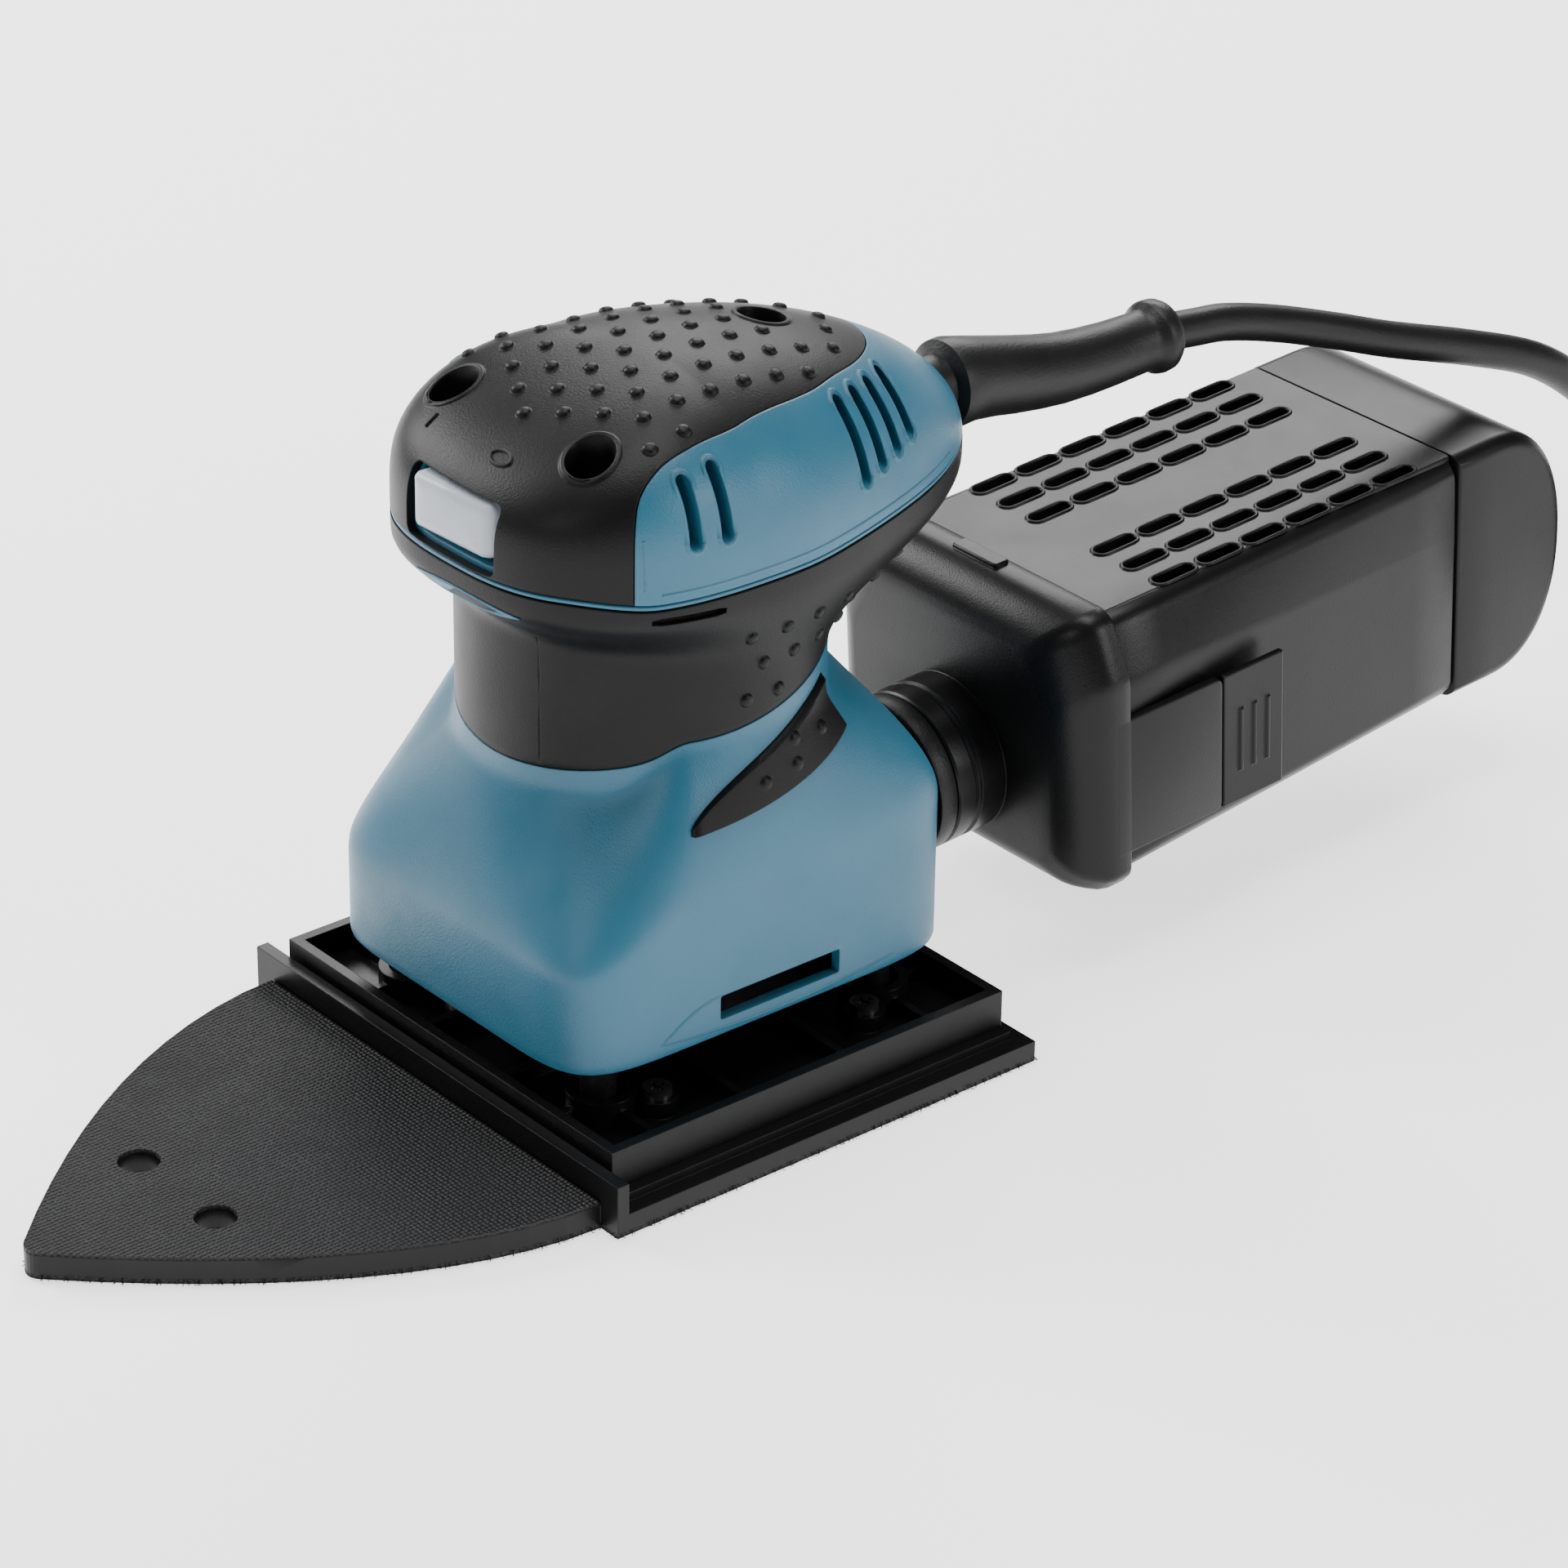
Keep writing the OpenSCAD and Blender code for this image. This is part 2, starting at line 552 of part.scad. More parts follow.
// ======================= housing =======================
module boss_posts() at_bosses() difference() {
    translate([0, 0, plate_z + plate_th]) cylinder(r = boss_r, h = bridge_z - plate_z - plate_th);
    translate([0, 0, plate_z]) cylinder(r = screw_r + fit, h = 12);
}
shelf_z = part_z - 6;                          // underside of the switch shelf
shelf_l = 12;
switch_w = 22;
switch_front = -head_front + wall + skin + 3.2;
switch_depth = 22;
clamp_w = 20;
clamp_l = 10;
clamp_y = 59;
clamp_seat_z = shelf_z + 3;
blend_levels = [0, 0.2, 0.4, 0.6, 0.8, 1];
module housing_shell() {
    outer_low = concat(
        [body_ring(0.6, function (a) skirt_z), body_ring(0, function (a) skirt_z + 0.8)],
        [for (t = blend_levels) body_ring(0, function (a) mix(shoulder_z(a), neck_z(a), t))]);
    edge = [body_ring(0, function (a) max(neck_z(a) + 0.4, sleeve_z(a))),
        body_ring(skin, function (a) max(neck_z(a) + 0.4, sleeve_z(a)))];
    outer_high = [for (t = [0, 0.35, 0.7]) body_ring(skin, function (a) mix(collar_z(a), part_z - lip_h, t)),
        body_ring(skin, function (a) part_z - lip_h), body_ring(skin, function (a) part_z)];
    inner_high = [body_ring(skin + wall, function (a) part_z),
        body_ring(skin + wall, function (a) part_z - lip_h),
        for (t = [0.7, 0.35, 0]) body_ring(skin + wall, function (a) mix(collar_z(a), part_z - lip_h, t))];
    inner_low = concat(
        [for (t = [1, 0.8, 0.6, 0.4, 0.2, 0]) body_ring(mix(wall, skin + wall, t),
            function (a) mix(shoulder_z(a), neck_z(a), t) - wall * (1 - t) * 0.6)],
        [body_ring(wall, function (a) skirt_z)]);
    ring_shell(concat(outer_low, edge, outer_high, inner_high, inner_low));
}
spout_y = 66;
spout_z = 34.5;
spout_wall = 2.6;
module at_spout() translate([0, spout_y, spout_z]) rotate([box_pitch, 0, 0]) children();
module along_y(y) translate([0, y, 0]) rotate([-90, 0, 0]) children();
skirt_window_y = -13;
skirt_window_l = 28.5;
skirt_window_h = 5;
skirt_window_z = 25;
guard_z = 115;
guard_neck_r = 6.2;
module guard_hole() translate([0, 0, guard_z]) along_y(50) cylinder(r = guard_neck_r + 0.1, h = 60);
module motor_housing() color([0.29, 0.53, 0.65]) difference() {
    union() {
        housing_shell();
        boss_posts();
        translate([-switch_w / 2 - 1, -head_front + skin + 1.6, shelf_z])
            cube([switch_w + 2, shelf_l, part_z - shelf_z]);
        translate([-clamp_w / 2 - 1, clamp_y - clamp_l / 2 - 2, shelf_z - 1])
            cube([clamp_w + 2, head_rear - wall - clamp_y, clamp_seat_z - shelf_z + 1]);
    }
    at_spout() along_y(-30) cylinder(r = spout_bore + spout_wall + 0.05, h = 60);
    for (s = [-1, 1]) translate([s * skirt_w / 2 - 6, skirt_window_y, skirt_window_z])
        cube([12, skirt_window_l, skirt_window_h]);
    guard_hole();
}

sleeve_lift = 0.5;                             // height of the sleeve's edge over the skirt's slope
function sleeve_level(a, t) = mix(max(neck_z(a) + sleeve_lift, sleeve_z(a)), collar_z(a), t);
module grip_sleeve() color([0.1, 0.1, 0.11]) difference() {
    ring_shell(concat(
        [for (t = [0, 0.5, 1]) body_ring(0, function (a) sleeve_level(a, t))],
        [for (t = [0.35, 0.7, 1]) body_ring(0, function (a) mix(collar_z(a), part_z - lip_h, t))],
        [body_ring(0, function (a) part_z), body_ring(skin - hair, function (a) part_z)],
        [for (t = [1, 0.7, 0.35]) body_ring(skin - hair, function (a) mix(collar_z(a), part_z - lip_h, t))],
        [for (t = [1, 0.5, 0]) body_ring(skin - hair,
            function (a) sleeve_level(a, t))]), 7);
    guard_hole();
}

leaf_from = -26;
leaf_to = 34;
leaf_cols = 12;
leaf_t = 1;
// Lower and upper edge of a leaf inlay at share u of its sweep
function leaf_low(u) = 63.8 + 8 * u * u;
function leaf_high(u) = 64 + 17.5 * pow(u, 0.62);
leaf_rows = [0, 0.25, 0.5, 0.75, 1];
function leaf_point(side, u, v, lift) =
    let (a = mix(leaf_from, leaf_to, u), z = mix(leaf_low(u), leaf_high(u) + 0.3, v),
        r = body_r(a, z) + overlay_gap + lift)
    [side * r * cos(a), r * sin(a), z];
module leaf(side) {
    n = leaf_cols + 1;
    m = len(leaf_rows);
    pts = [for (lift = [0, leaf_t]) for (v = leaf_rows) for (k = [0:leaf_cols])
        leaf_point(side, k / leaf_cols, v, lift)];
    low = [for (v = [0:m - 2], k = [0:n - 2]) each [[v * n + k, v * n + k + 1, (v + 1) * n + k + 1],
        [v * n + k, (v + 1) * n + k + 1, (v + 1) * n + k]]];
    high = [for (f = low) [f[2] + m * n, f[1] + m * n, f[0] + m * n]];
    rim = concat([for (k = [0:n - 1]) k], [for (v = [1:m - 1]) v * n + n - 1],
        [for (k = [n - 2:-1:0]) (m - 1) * n + k], [for (v = [m - 2:-1:1]) v * n]);
    c = len(rim);
    walls = [for (k = [0:c - 1]) let (p = rim[k], q = rim[(k + 1) % c]) each
        [[p + m * n, q + m * n, q], [p + m * n, q, p]]];
    all_faces = concat(low, high, walls);
    polyhedron(pts, side > 0 ? all_faces : [for (f = all_faces) [f[2], f[1], f[0]]], convexity = 6);
}
module inlay_left() color([0.1, 0.1, 0.11]) leaf(1);
module inlay_right() color([0.1, 0.1, 0.11]) leaf(-1);

// ======================= head =======================
cap_front_y = -28.6;
// Edge of the black skin on one side, from the front block to the end of its tongue
cap_edge = [[34, -28.6], [32.9, -27.6], [31.2, -25], [29.9, -19.5], [29.4, -12.6], [28.6, -5], [27.2, 3],
    [25.4, 13.5], [23.6, 20.4], [20.9, 27], [16.6, 36.4], [11.4, 43.4], [5.8, 47.4], [0, 48.6]];
module cap_plan() polygon(concat([[-60, cap_front_y], [-60, -70], [60, -70], [60, cap_front_y]],
    mirrored(cap_edge)));
module cap_prism() translate([0, 0, part_z - 10]) linear_extrude(60) cap_plan();
window_z = 114.4;
module switch_window() translate([-window_w / 2, -head_front - 10, window_z]) cube([window_w, 22, window_h]);
// Each cover screw: X, Y, top of its post
cover_screw_at = [[-19.9, -27.2, 131], [19.9, -27.2, 131], [0, 28, 139]];
cover_seat_z = 128;
module at_cover_screws() for (p = cover_screw_at) translate([p[0], p[1], 0]) children();
well_r = 5;
module screw_wells() at_cover_screws() {
    translate([0, 0, cover_seat_z]) cylinder(r = well_r, h = 40);
    translate([0, 0, part_z - 5]) cylinder(r = screw_r + fit, h = 40);
}
vent_w = 2.4;
vent_h = 16;
// Each vent slot of one side: distance along Y, inner X, lower edge
vent_at = [[-17, 26.4, 120.4], [-10.4, 26.4, 120.4], [24.6, 22, 119.6], [30, 19.6, 120.6],
    [35.4, 17.2, 121.4], [40.8, 14.2, 122.2]];
module vents() for (s = [-1, 1], v = vent_at)
    translate([s > 0 ? v[1] : -v[1] - 30, v[0] - vent_w / 2, v[2]]) cube([30, vent_w, vent_h]);
module top_cover() color([0.29, 0.53, 0.65]) difference() {
    union() {
        dome_shell(0, skin + wall);
        for (p = cover_screw_at) translate([p[0], p[1], part_z])
            cylinder(r = well_r + 1.4, h = p[2] - part_z);
    }
    intersection() {
        dome_shell(-2, skin);
        cap_prism();
    }
    screw_wells();
    switch_window();
    vents();
    guard_hole();
}
module cover_grip() color([0.1, 0.1, 0.11]) difference() {
    intersection() {
        dome_shell(0, skin - hair);
        cap_prism();
    }
    screw_wells();
    switch_window();
}
module cover_screws() color([0.25, 0.25, 0.27]) at_cover_screws() screw(cover_seat_z, cover_seat_z - part_z);

// ======================= switch =======================
switch_h = 11.4;
boot_w = window_w - 2.4;
boot_z = window_z + 0.8;
boot_h = window_h - 1.6;
pivot_y = switch_front - 1.2;
module switch_body() color([0.12, 0.12, 0.12]) translate([0, switch_front, part_z]) difference() {
    translate([-switch_w / 2, 0, 0]) cube([switch_w, switch_depth, switch_h + 2]);
    translate([-switch_w / 2 + 1.5, -1, 2]) cube([switch_w - 3, 5, 40]);
}
module switch_rocker() color([0.2, 0.2, 0.2]) translate([0, pivot_y, boot_z]) {
    translate([-6, -1.2, 0.6]) cube([12, 3.6, boot_h - 1.2]);
    translate([0, 1.2, 0.2]) cylinder(r = 1.6, h = boot_h - 0.4);
}
// Two flats that meet in a low ridge: the +X half is pressed in
boot_front = -head_front + 0.5;
boot_back = pivot_y - 1.2;
boot_ridge = 3;
boot_slope = 1.6;
module switch_boot() color([0.85, 0.88, 0.92, 0.8]) translate([0, 0, boot_z]) linear_extrude(boot_h)
    polygon([[-boot_w / 2, boot_back], [-boot_w / 2, boot_front], [boot_ridge, boot_front],
        [boot_w / 2, boot_front + boot_slope], [boot_w / 2, boot_back]]);

// ======================= supports, seals, spout =======================
leg_low = frame_z + frame_floor + gap;
baffle_z = skirt_z + 0.5;
baffle_t = 2.2;
leg_head_r = leg_r + 1.3;
leg_head_t = 2;
module support_legs() color([0.12, 0.12, 0.12]) at_legs() {
    translate([0, 0, leg_low]) cylinder(r = leg_r, h = baffle_z + baffle_t - leg_low);
    translate([0, 0, baffle_z + baffle_t]) cylinder(r = leg_head_r, h = leg_head_t);
}

felt_in = hub_r + 3;
felt_out = felt_in + 4.5;
felt_z = frame_z + rib_h + 0.7;
module felt_ring() color([0.15, 0.15, 0.15]) difference() {
    translate([0, 0, felt_z]) cylinder(r = felt_out, h = baffle_z - felt_z);
    cylinder(r = felt_in, h = baffle_z + 1);
}

// The plate under the fan that closes the skirt, holds the legs and carries the felt ring
module baffle_plate() color([0.13, 0.13, 0.13]) difference() {
    translate([0, 0, baffle_z]) linear_extrude(baffle_t)
        polygon([for (i = [0:columns - 1]) let (a = 360 * i / columns, r = skirt_at(a) - wall - fit)
            [r * cos(a), r * sin(a)]]);
    cylinder(r = felt_in + 0.8, h = 60);
    at_legs() cylinder(r = leg_r + fit, h = 60);
    at_spout() along_y(-40) cylinder(r = spout_bore + spout_wall + 1.4 + fit, h = 60);
}

spout_tip = 12;
spout_root = -24;
module dust_spout() color([0.1, 0.1, 0.1]) at_spout() difference() {
    union() {
        along_y(spout_root) cylinder(r = spout_bore + spout_wall, h = spout_tip - spout_root);
        along_y(-15.5) cylinder(r = spout_bore + spout_wall + 1.4, h = 10.6);
    }
    along_y(spout_root - 1) cylinder(r = spout_bore, h = 60);
}
collar_r = 16.3;
module spout_seal() color([0.07, 0.07, 0.07]) at_spout() along_y(-4.6) difference() {
    cylinder(r = collar_r, h = 4.3);
    translate([0, 0, -1]) cylinder(r = spout_bore + spout_wall + fit, h = 10);
}

// ======================= cord =======================
cord_r = cord_d / 2;
clamp_top_z = guard_z - cord_r - fit;
clamp_screw_x = 7;
module cord_clamp() color([0.12, 0.12, 0.12]) translate([0, clamp_y, clamp_seat_z]) difference() {
    translate([-clamp_w / 2, -clamp_l / 2, 0]) cube([clamp_w, clamp_l, clamp_top_z - clamp_seat_z]);
    for (x = [-clamp_screw_x, clamp_screw_x]) translate([x, 0, -1]) cylinder(r = screw_r + fit, h = 20);
}
module clamp_screws() color([0.3, 0.3, 0.32]) for (x = [-clamp_screw_x, clamp_screw_x])
    translate([x, clamp_y, 0]) screw(clamp_top_z, clamp_top_z - clamp_seat_z);

guard_y = 66;                                  // inner end of the guard
cord_y = guard_y + guard_l;                    // where the lead leaves the guard
// Run of the guard: share of its length, height over its start, radius
guard_run = [[0, 0, guard_neck_r], [0.09, 0, guard_neck_r], [0.2, -0.6, 8], [0.37, -2.8, 7.6],
    [0.57, -4.9, 7], [0.77, -5.4, 6.4], [0.9, -5.2, 6.1], [0.96, -5, 7.4], [1, -4.9, 7]];
guard_path = [for (q = guard_run) [0, guard_y + guard_l * q[0], guard_z + q[1]]];
module cord_guard() color([0.08, 0.08, 0.08]) sweep(guard_path, [for (q = guard_run) q[2]], 12);

// Route of the free lead from the end of the guard: it sags to the floor and runs up beside the coil
lead_run = [[0, 0, guard_z - 4.9], [0.2, 8, 109.2], [0.6, 16.4, 108.3], [1.4, 29.6, 104.8],
    [4.1, 43.2, 100.6], [6.8, 57, 95.9], [9.6, 78.5, 89.2], [12.3, 94.4, 83.4], [12.6, 108, 74.5],
    [9.5, 121, 63], [4.5, 134, 49.5], [-1.5, 147, 35], [-8.5, 160, 21.5], [-16, 173, 11.5],
    [-21.5, 185, 5.8], [-24.2, 194, 3.9], [-24.7, 203, 3.8]];
coil_at = [28, cord_y + 203];
coil_in = 37.4;
coil_out = 45;
coil_top = 3 * cord_d;
plug_z = coil_top + 11.6;
plug_turn = 60;                                // where on the coil the plug lies
plug_rear = 16;
tail_end = plug_rear + 0.9;                    // the lead stops just short of the plug's rear face
ride_r = (coil_in + coil_out) / 2;
// Route of the last of the lead: a part turn on top of the coil, then up into the plug's rear.
// Angle on the coil, radius, height over the coil
tail_run = [[250, 0, cord_r], [230, 0, cord_r], [210, 0, cord_r], [190, 0, cord_r], [170, 0, cord_r],
    [152, 0.2, cord_r + 0.4], [136, 0.8, cord_r + 2], [120, 1.6, cord_r + 4.8], [108, 2.3, cord_r + 6.8],
    [96, 2.9, cord_r + 7.7]];
function on_coil(a, r) = [coil_at[0] + r * cos(a), coil_at[1] + r * sin(a)];
plug_mid = on_coil(plug_turn, ride_r);
tail_path = concat([for (q = tail_run) let (p = on_coil(q[0], ride_r + q[1])) [p[0], p[1], coil_top + q[2]]],
    [[plug_mid[0] - tail_end * sin(plug_turn), plug_mid[1] + tail_end * cos(plug_turn), plug_z]]);
lead_path = [for (q = lead_run) q + [0, cord_y, 0]];
module cord() color([0.09, 0.09, 0.09]) {
    sweep(lead_path, [for (q = lead_path) cord_r], 10);
    sweep(tail_path, [for (q = tail_path) cord_r], 10);
}
module cord_coil() color([0.09, 0.09, 0.09]) translate([coil_at[0], coil_at[1], 0]) rotate_extrude()
    translate([coil_in - cord_r, 0]) square([coil_out - coil_in + cord_d, coil_top]);
tie_w = 6;
tie_t = 1.2;
coil_w = coil_out - coil_in + cord_d;
tie_fit = 0.1;
module cord_tie() color([0.2, 0.2, 0.2]) translate([coil_at[0] + ride_r, coil_at[1], 0])
    rotate([90, 0, 0]) translate([0, 0, -tie_w / 2]) linear_extrude(tie_w) difference() {
        translate([-coil_w / 2 - tie_t, 0]) square([coil_w + 2 * tie_t, coil_top + tie_t]);
        translate([-coil_w / 2 - tie_fit, -1]) square([coil_w + 2 * tie_fit, coil_top + 1 + tie_fit]);
    }
plug_r = 11.5;
plug_front = 24;
module at_plug() translate([plug_mid[0], plug_mid[1], plug_z]) rotate(plug_turn - 90) children();
module plug_body() color([0.08, 0.08, 0.08]) at_plug() {
    hull() {
        translate([-plug_rear, -14, -8]) cube([10, 28, 16]);
        translate([plug_front - 14, -17, -10]) cube([8, 34, 20]);
    }
    translate([plug_front - 6, 0, 0]) rotate([0, 90, 0]) linear_extrude(6) {
        for (y = [-5, 5]) translate([0, y]) circle(r = plug_r);
        translate([-plug_r, -5]) square([2 * plug_r, 10]);
    }
}
pin_r = 2.4;
pin_l = 19;
pin_y = 9.5;
module plug_pins() color("silver") at_plug() for (y = [-pin_y, pin_y])
    translate([plug_front, y, 0]) rotate([0, 90, 0]) cylinder(r = pin_r, h = pin_l);

// ======================= dust box =======================
// Everything here is drawn in the tilted frame of the spout: Y along the box, Z up from its axis
shell_y = 12;
seam_y = 25.5;
box_end = seam_y + box_l;
front_w = 76;
rear_w = box_front_w - 12;
// Cross-section of the box between its side walls at half-width w, with a bevel up to the lid
module box_section(w, lid, top, low, bevel) polygon([[-w + 3, -low], [w - 3, -low], [w, -low + 3.5],
    [w, top - bevel], [lid, top], [-lid, top], [-w, top - bevel], [-w, -low + 3.5]]);
module slab(y, t) along_y(y) mirror([0, 1, 0]) linear_extrude(t) children();
thin = 0.01;
module box_block(inset, y0, y1) hull() {
    slab(y0, thin)
        box_section(box_front_w / 2 - inset, lid_w / 2 - inset, lid_z - inset * 0.6, box_low - inset, 12.5);
    slab(y1 - thin, thin)
        box_section(rear_w / 2 - inset, lid_w / 2 - 0.6 - inset, lid_z - inset * 0.6, box_low - inset, 17);
}
lid_t = 2.4;
lid_plate_w = lid_w - 5;
module dust_body() color([0.09, 0.09, 0.09]) at_spout() difference() {
    box_block(0, seam_y, box_end);
    box_block(box_wall, seam_y - 1, box_end + 1);
    translate([-lid_plate_w / 2, seam_y - 1, lid_z - 10]) cube([lid_plate_w, box_l + 2, 20]);
}
slot_rows = [9.5, 18, 26.2];
slot_l = 9.4;
slot_pitch = 12;
slot_open = 2.6;
slot_count = 6;
slot_from = 17;
module lid_slots() for (s = [-1, 1], x = slot_rows, k = [0:slot_count - 1])
    translate([s * x - slot_open / 2, seam_y + slot_from + slot_pitch * k, lid_z - 10])
        cube([slot_open, slot_l, 20]);
module dust_lid() color([0.09, 0.09, 0.09]) at_spout() difference() {
    translate([-lid_plate_w / 2 + 0.05, seam_y, lid_z - lid_t]) cube([lid_plate_w - 0.1, box_l, lid_t]);
    lid_slots();
}
cap_depth = 31.5;                              // how far the end cap bulges behind the box
cap_flat = 11;                                 // length of its top before the bulge
cap_mid_z = (lid_z - box_low) / 2;
cap_half_h = (lid_z + box_low) / 2;
function cap_curve(inset) = [for (k = [0:10]) let (a = 90 - 18 * k)
    [box_end + cap_flat + (cap_depth - cap_flat - inset) * cos(a),
        cap_mid_z + (cap_half_h - inset) * sin(a)]];
module cap_block(y0, inset) rotate([90, 0, 90]) translate([0, 0, -rear_w / 2 + inset])
    linear_extrude(rear_w - 2 * inset) polygon(concat(
        [[y0, -box_low + inset], [y0, lid_z - inset]], cap_curve(inset)));
module dust_end_cap() color([0.09, 0.09, 0.09]) at_spout() difference() {
    cap_block(box_end, 0);
    cap_block(box_end - 1, box_wall);
}
arm_y = 49.3;
arm_top_z = 17;
arm_low_z = -12.5;
nozzle_fit = 0.15;
front_low = box_low + 1.2;
front_rise = 2.6;                              // the front shell stands this far above the lid
front_draw = 6;                                // how much narrower its front face is
module front_section(draw, drop, inset, bevel) box_section(front_w / 2 - draw - inset,
    lid_w / 2 + (draw > 0 ? -front_draw : 2) - inset, lid_z + front_rise - drop - inset,
    front_low - drop / 2 - inset, bevel);
module front_block(inset) hull() {
    slab(shell_y + inset, thin) front_section(front_draw, 5.6, inset, 12);
    slab(shell_y + 8, thin) front_section(0, 0, inset, 14);
    slab(seam_y - gap - thin, thin) front_section(0, 0, inset, 14);
}
mouth_h = 38;
module dust_front() color([0.09, 0.09, 0.09]) at_spout() difference() {
    union() {
        difference() {
            front_block(0);
            intersection() {
                front_block(box_wall);
                translate([-60, 0, -60]) cube([120, seam_y + 5, 120]);
            }
            translate([-front_w / 2 + box_wall + 1, seam_y - 3, -mouth_h / 2])
                cube([front_w - 2 * box_wall - 2, 10, mouth_h]);
        }
        for (s = [-1, 1]) translate([s * (front_w / 2 - 0.75) - 0.75, seam_y - 6, arm_low_z])
            cube([1.5, arm_y - seam_y + 6, arm_top_z - arm_low_z]);
        along_y(0) cylinder(r = collar_r, h = shell_y + 3);
    }
    along_y(-1) cylinder(r = spout_bore + spout_wall + nozzle_fit, h = 30);
}
frame_t = 2;
frame_gap = 0.3;
frame_low = -box_low + box_wall + frame_gap;
frame_h = lid_z - 12.5 - frame_low;            // up to where the bevel begins
filter_mouth_r = 14;
module filter_frame() color([0.2, 0.2, 0.2]) at_spout() difference() {
    translate([-box_front_w / 2 + box_wall + frame_gap + 3, seam_y + 1, frame_low])
        cube([box_front_w - 2 * (box_wall + frame_gap + 3), frame_t, frame_h]);
    along_y(0) cylinder(r = filter_mouth_r, h = 60);
}
filter_w = 50;
filter_l = 84;
filter_top = 22;
filter_t = 1;
module filter_bag() color([0.8, 0.76, 0.66]) at_spout() difference() {
    translate([-filter_w / 2, seam_y + 1 + frame_t, frame_low])
        cube([filter_w, filter_l, filter_top - frame_low]);
    translate([-filter_w / 2 + filter_t, seam_y + frame_t, frame_low + filter_t])
        cube([filter_w - 2 * filter_t, filter_l, filter_top - frame_low - 2 * filter_t]);
}
latch_l = 16;
latch_t = 1.5;
module latch(s) at_spout() translate([s * front_w / 2, arm_y + gap, arm_low_z]) {
    translate([s > 0 ? -latch_t : 0, 0, 0]) cube([latch_t, latch_l, arm_top_z - arm_low_z]);
    for (k = [0:2]) translate([s > 0 ? 0 : -0.5, 4 + 3.6 * k, 7]) cube([0.5, 1, 14]);
}
module latch_left() color([0.09, 0.09, 0.09]) latch(1);
module latch_right() color([0.09, 0.09, 0.09]) latch(-1);

hook_pad();
pad_plate();
hook_pad_tip();
base_frame();
pad_screws();
pad_bearing();
bearing_cap();
cap_screws();
pin_washer();
pin_screw();
motor_shaft();
counterweight();
fan();
armature_core();
armature_winding();
commutator();
motor_housing();
grip_sleeve();
inlay_left();
inlay_right();
top_cover();
cover_grip();
cover_screws();
support_legs();
dust_spout();
spout_seal();
felt_ring();
baffle_plate();
bearing_plate();
plate_screws();
lower_bearing();
upper_bearing();
bearing_bridge();
field_core();
field_coils();
brush_holders();
carbon_brushes();
brush_springs();
switch_body();
switch_rocker();
switch_boot();
cord_clamp();
clamp_screws();
cord_guard();
cord();
cord_coil();
cord_tie();
plug_body();
plug_pins();
dust_front();
dust_body();
dust_lid();
dust_end_cap();
filter_frame();
filter_bag();
latch_left();
latch_right();
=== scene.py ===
"""Detail sander: the looks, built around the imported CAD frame. Lengths below are in millimetres
until MM or a mesh builder turns them into metres, apart from the camera, the stage and the lights."""

import json
import math
import random
from math import cos, pi, radians, sin, sqrt

import bmesh
import bpy
from mathutils import Matrix, Vector


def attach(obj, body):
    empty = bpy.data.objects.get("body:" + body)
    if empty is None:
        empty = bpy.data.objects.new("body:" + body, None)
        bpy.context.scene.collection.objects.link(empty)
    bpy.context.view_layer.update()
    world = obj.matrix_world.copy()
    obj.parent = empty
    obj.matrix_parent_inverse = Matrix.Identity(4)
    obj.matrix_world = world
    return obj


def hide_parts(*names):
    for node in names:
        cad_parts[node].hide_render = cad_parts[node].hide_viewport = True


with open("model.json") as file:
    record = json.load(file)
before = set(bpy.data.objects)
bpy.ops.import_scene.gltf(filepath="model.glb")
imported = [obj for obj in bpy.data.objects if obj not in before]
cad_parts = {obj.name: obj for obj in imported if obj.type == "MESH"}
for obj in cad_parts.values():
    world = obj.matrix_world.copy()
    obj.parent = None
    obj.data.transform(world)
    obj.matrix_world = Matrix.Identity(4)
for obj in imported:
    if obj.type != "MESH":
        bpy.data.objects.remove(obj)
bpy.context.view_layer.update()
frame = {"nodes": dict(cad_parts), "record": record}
MM = 0.001
BUMP_DEPTH = 0.0004   # metres
SHARP = 32            # degrees between two faces from which their edge is drawn as sharp


# ------ camera
def make_camera():
    az, el, roll = radians(49.81), radians(27.97), radians(0.87)
    back = Vector((sin(az) * cos(el), -cos(az) * cos(el), sin(el)))
    right = Vector((cos(az), sin(az), 0.0))
    up = back.cross(right)
    right, up = cos(roll) * right + sin(roll) * up, -sin(roll) * right + cos(roll) * up
    data = bpy.data.cameras.new("camera")
    data.sensor_width = 36.0
    data.lens = 129.32
    data.clip_end = 20.0
    cam = bpy.data.objects.new("camera", data)
    bpy.context.scene.collection.objects.link(cam)
    turn = Matrix((right, up, back)).transposed().to_4x4()
    cam.matrix_world = Matrix.Translation((0.72811, -0.57997, 0.54768)) @ turn
    bpy.context.scene.camera = cam


make_camera()


# ------ helpers
def mix(a, b, t):
    return a + (b - a) * t


def unit(t):
    return max(0.0, min(1.0, t))


def ease(t):
    t = unit(t)
    return t * t * (3 - 2 * t)


def link(obj):
    bpy.context.scene.collection.objects.link(obj)
    return obj


def mesh_piece(name, verts, faces, sharp=SHARP, scale=MM):
    mesh = bpy.data.meshes.new(name)
    mesh.from_pydata([tuple(c * scale for c in v) for v in verts], [], faces)
    mesh.validate()
    bm = bmesh.new()
    bm.from_mesh(mesh)
    bmesh.ops.remove_doubles(bm, verts=bm.verts, dist=1e-6)
    bmesh.ops.recalc_face_normals(bm, faces=bm.faces)
    bm.to_mesh(mesh)
    bm.free()
    mesh.shade_smooth()
    mesh.set_sharp_from_angle(angle=radians(sharp))
    return link(bpy.data.objects.new(name, mesh))


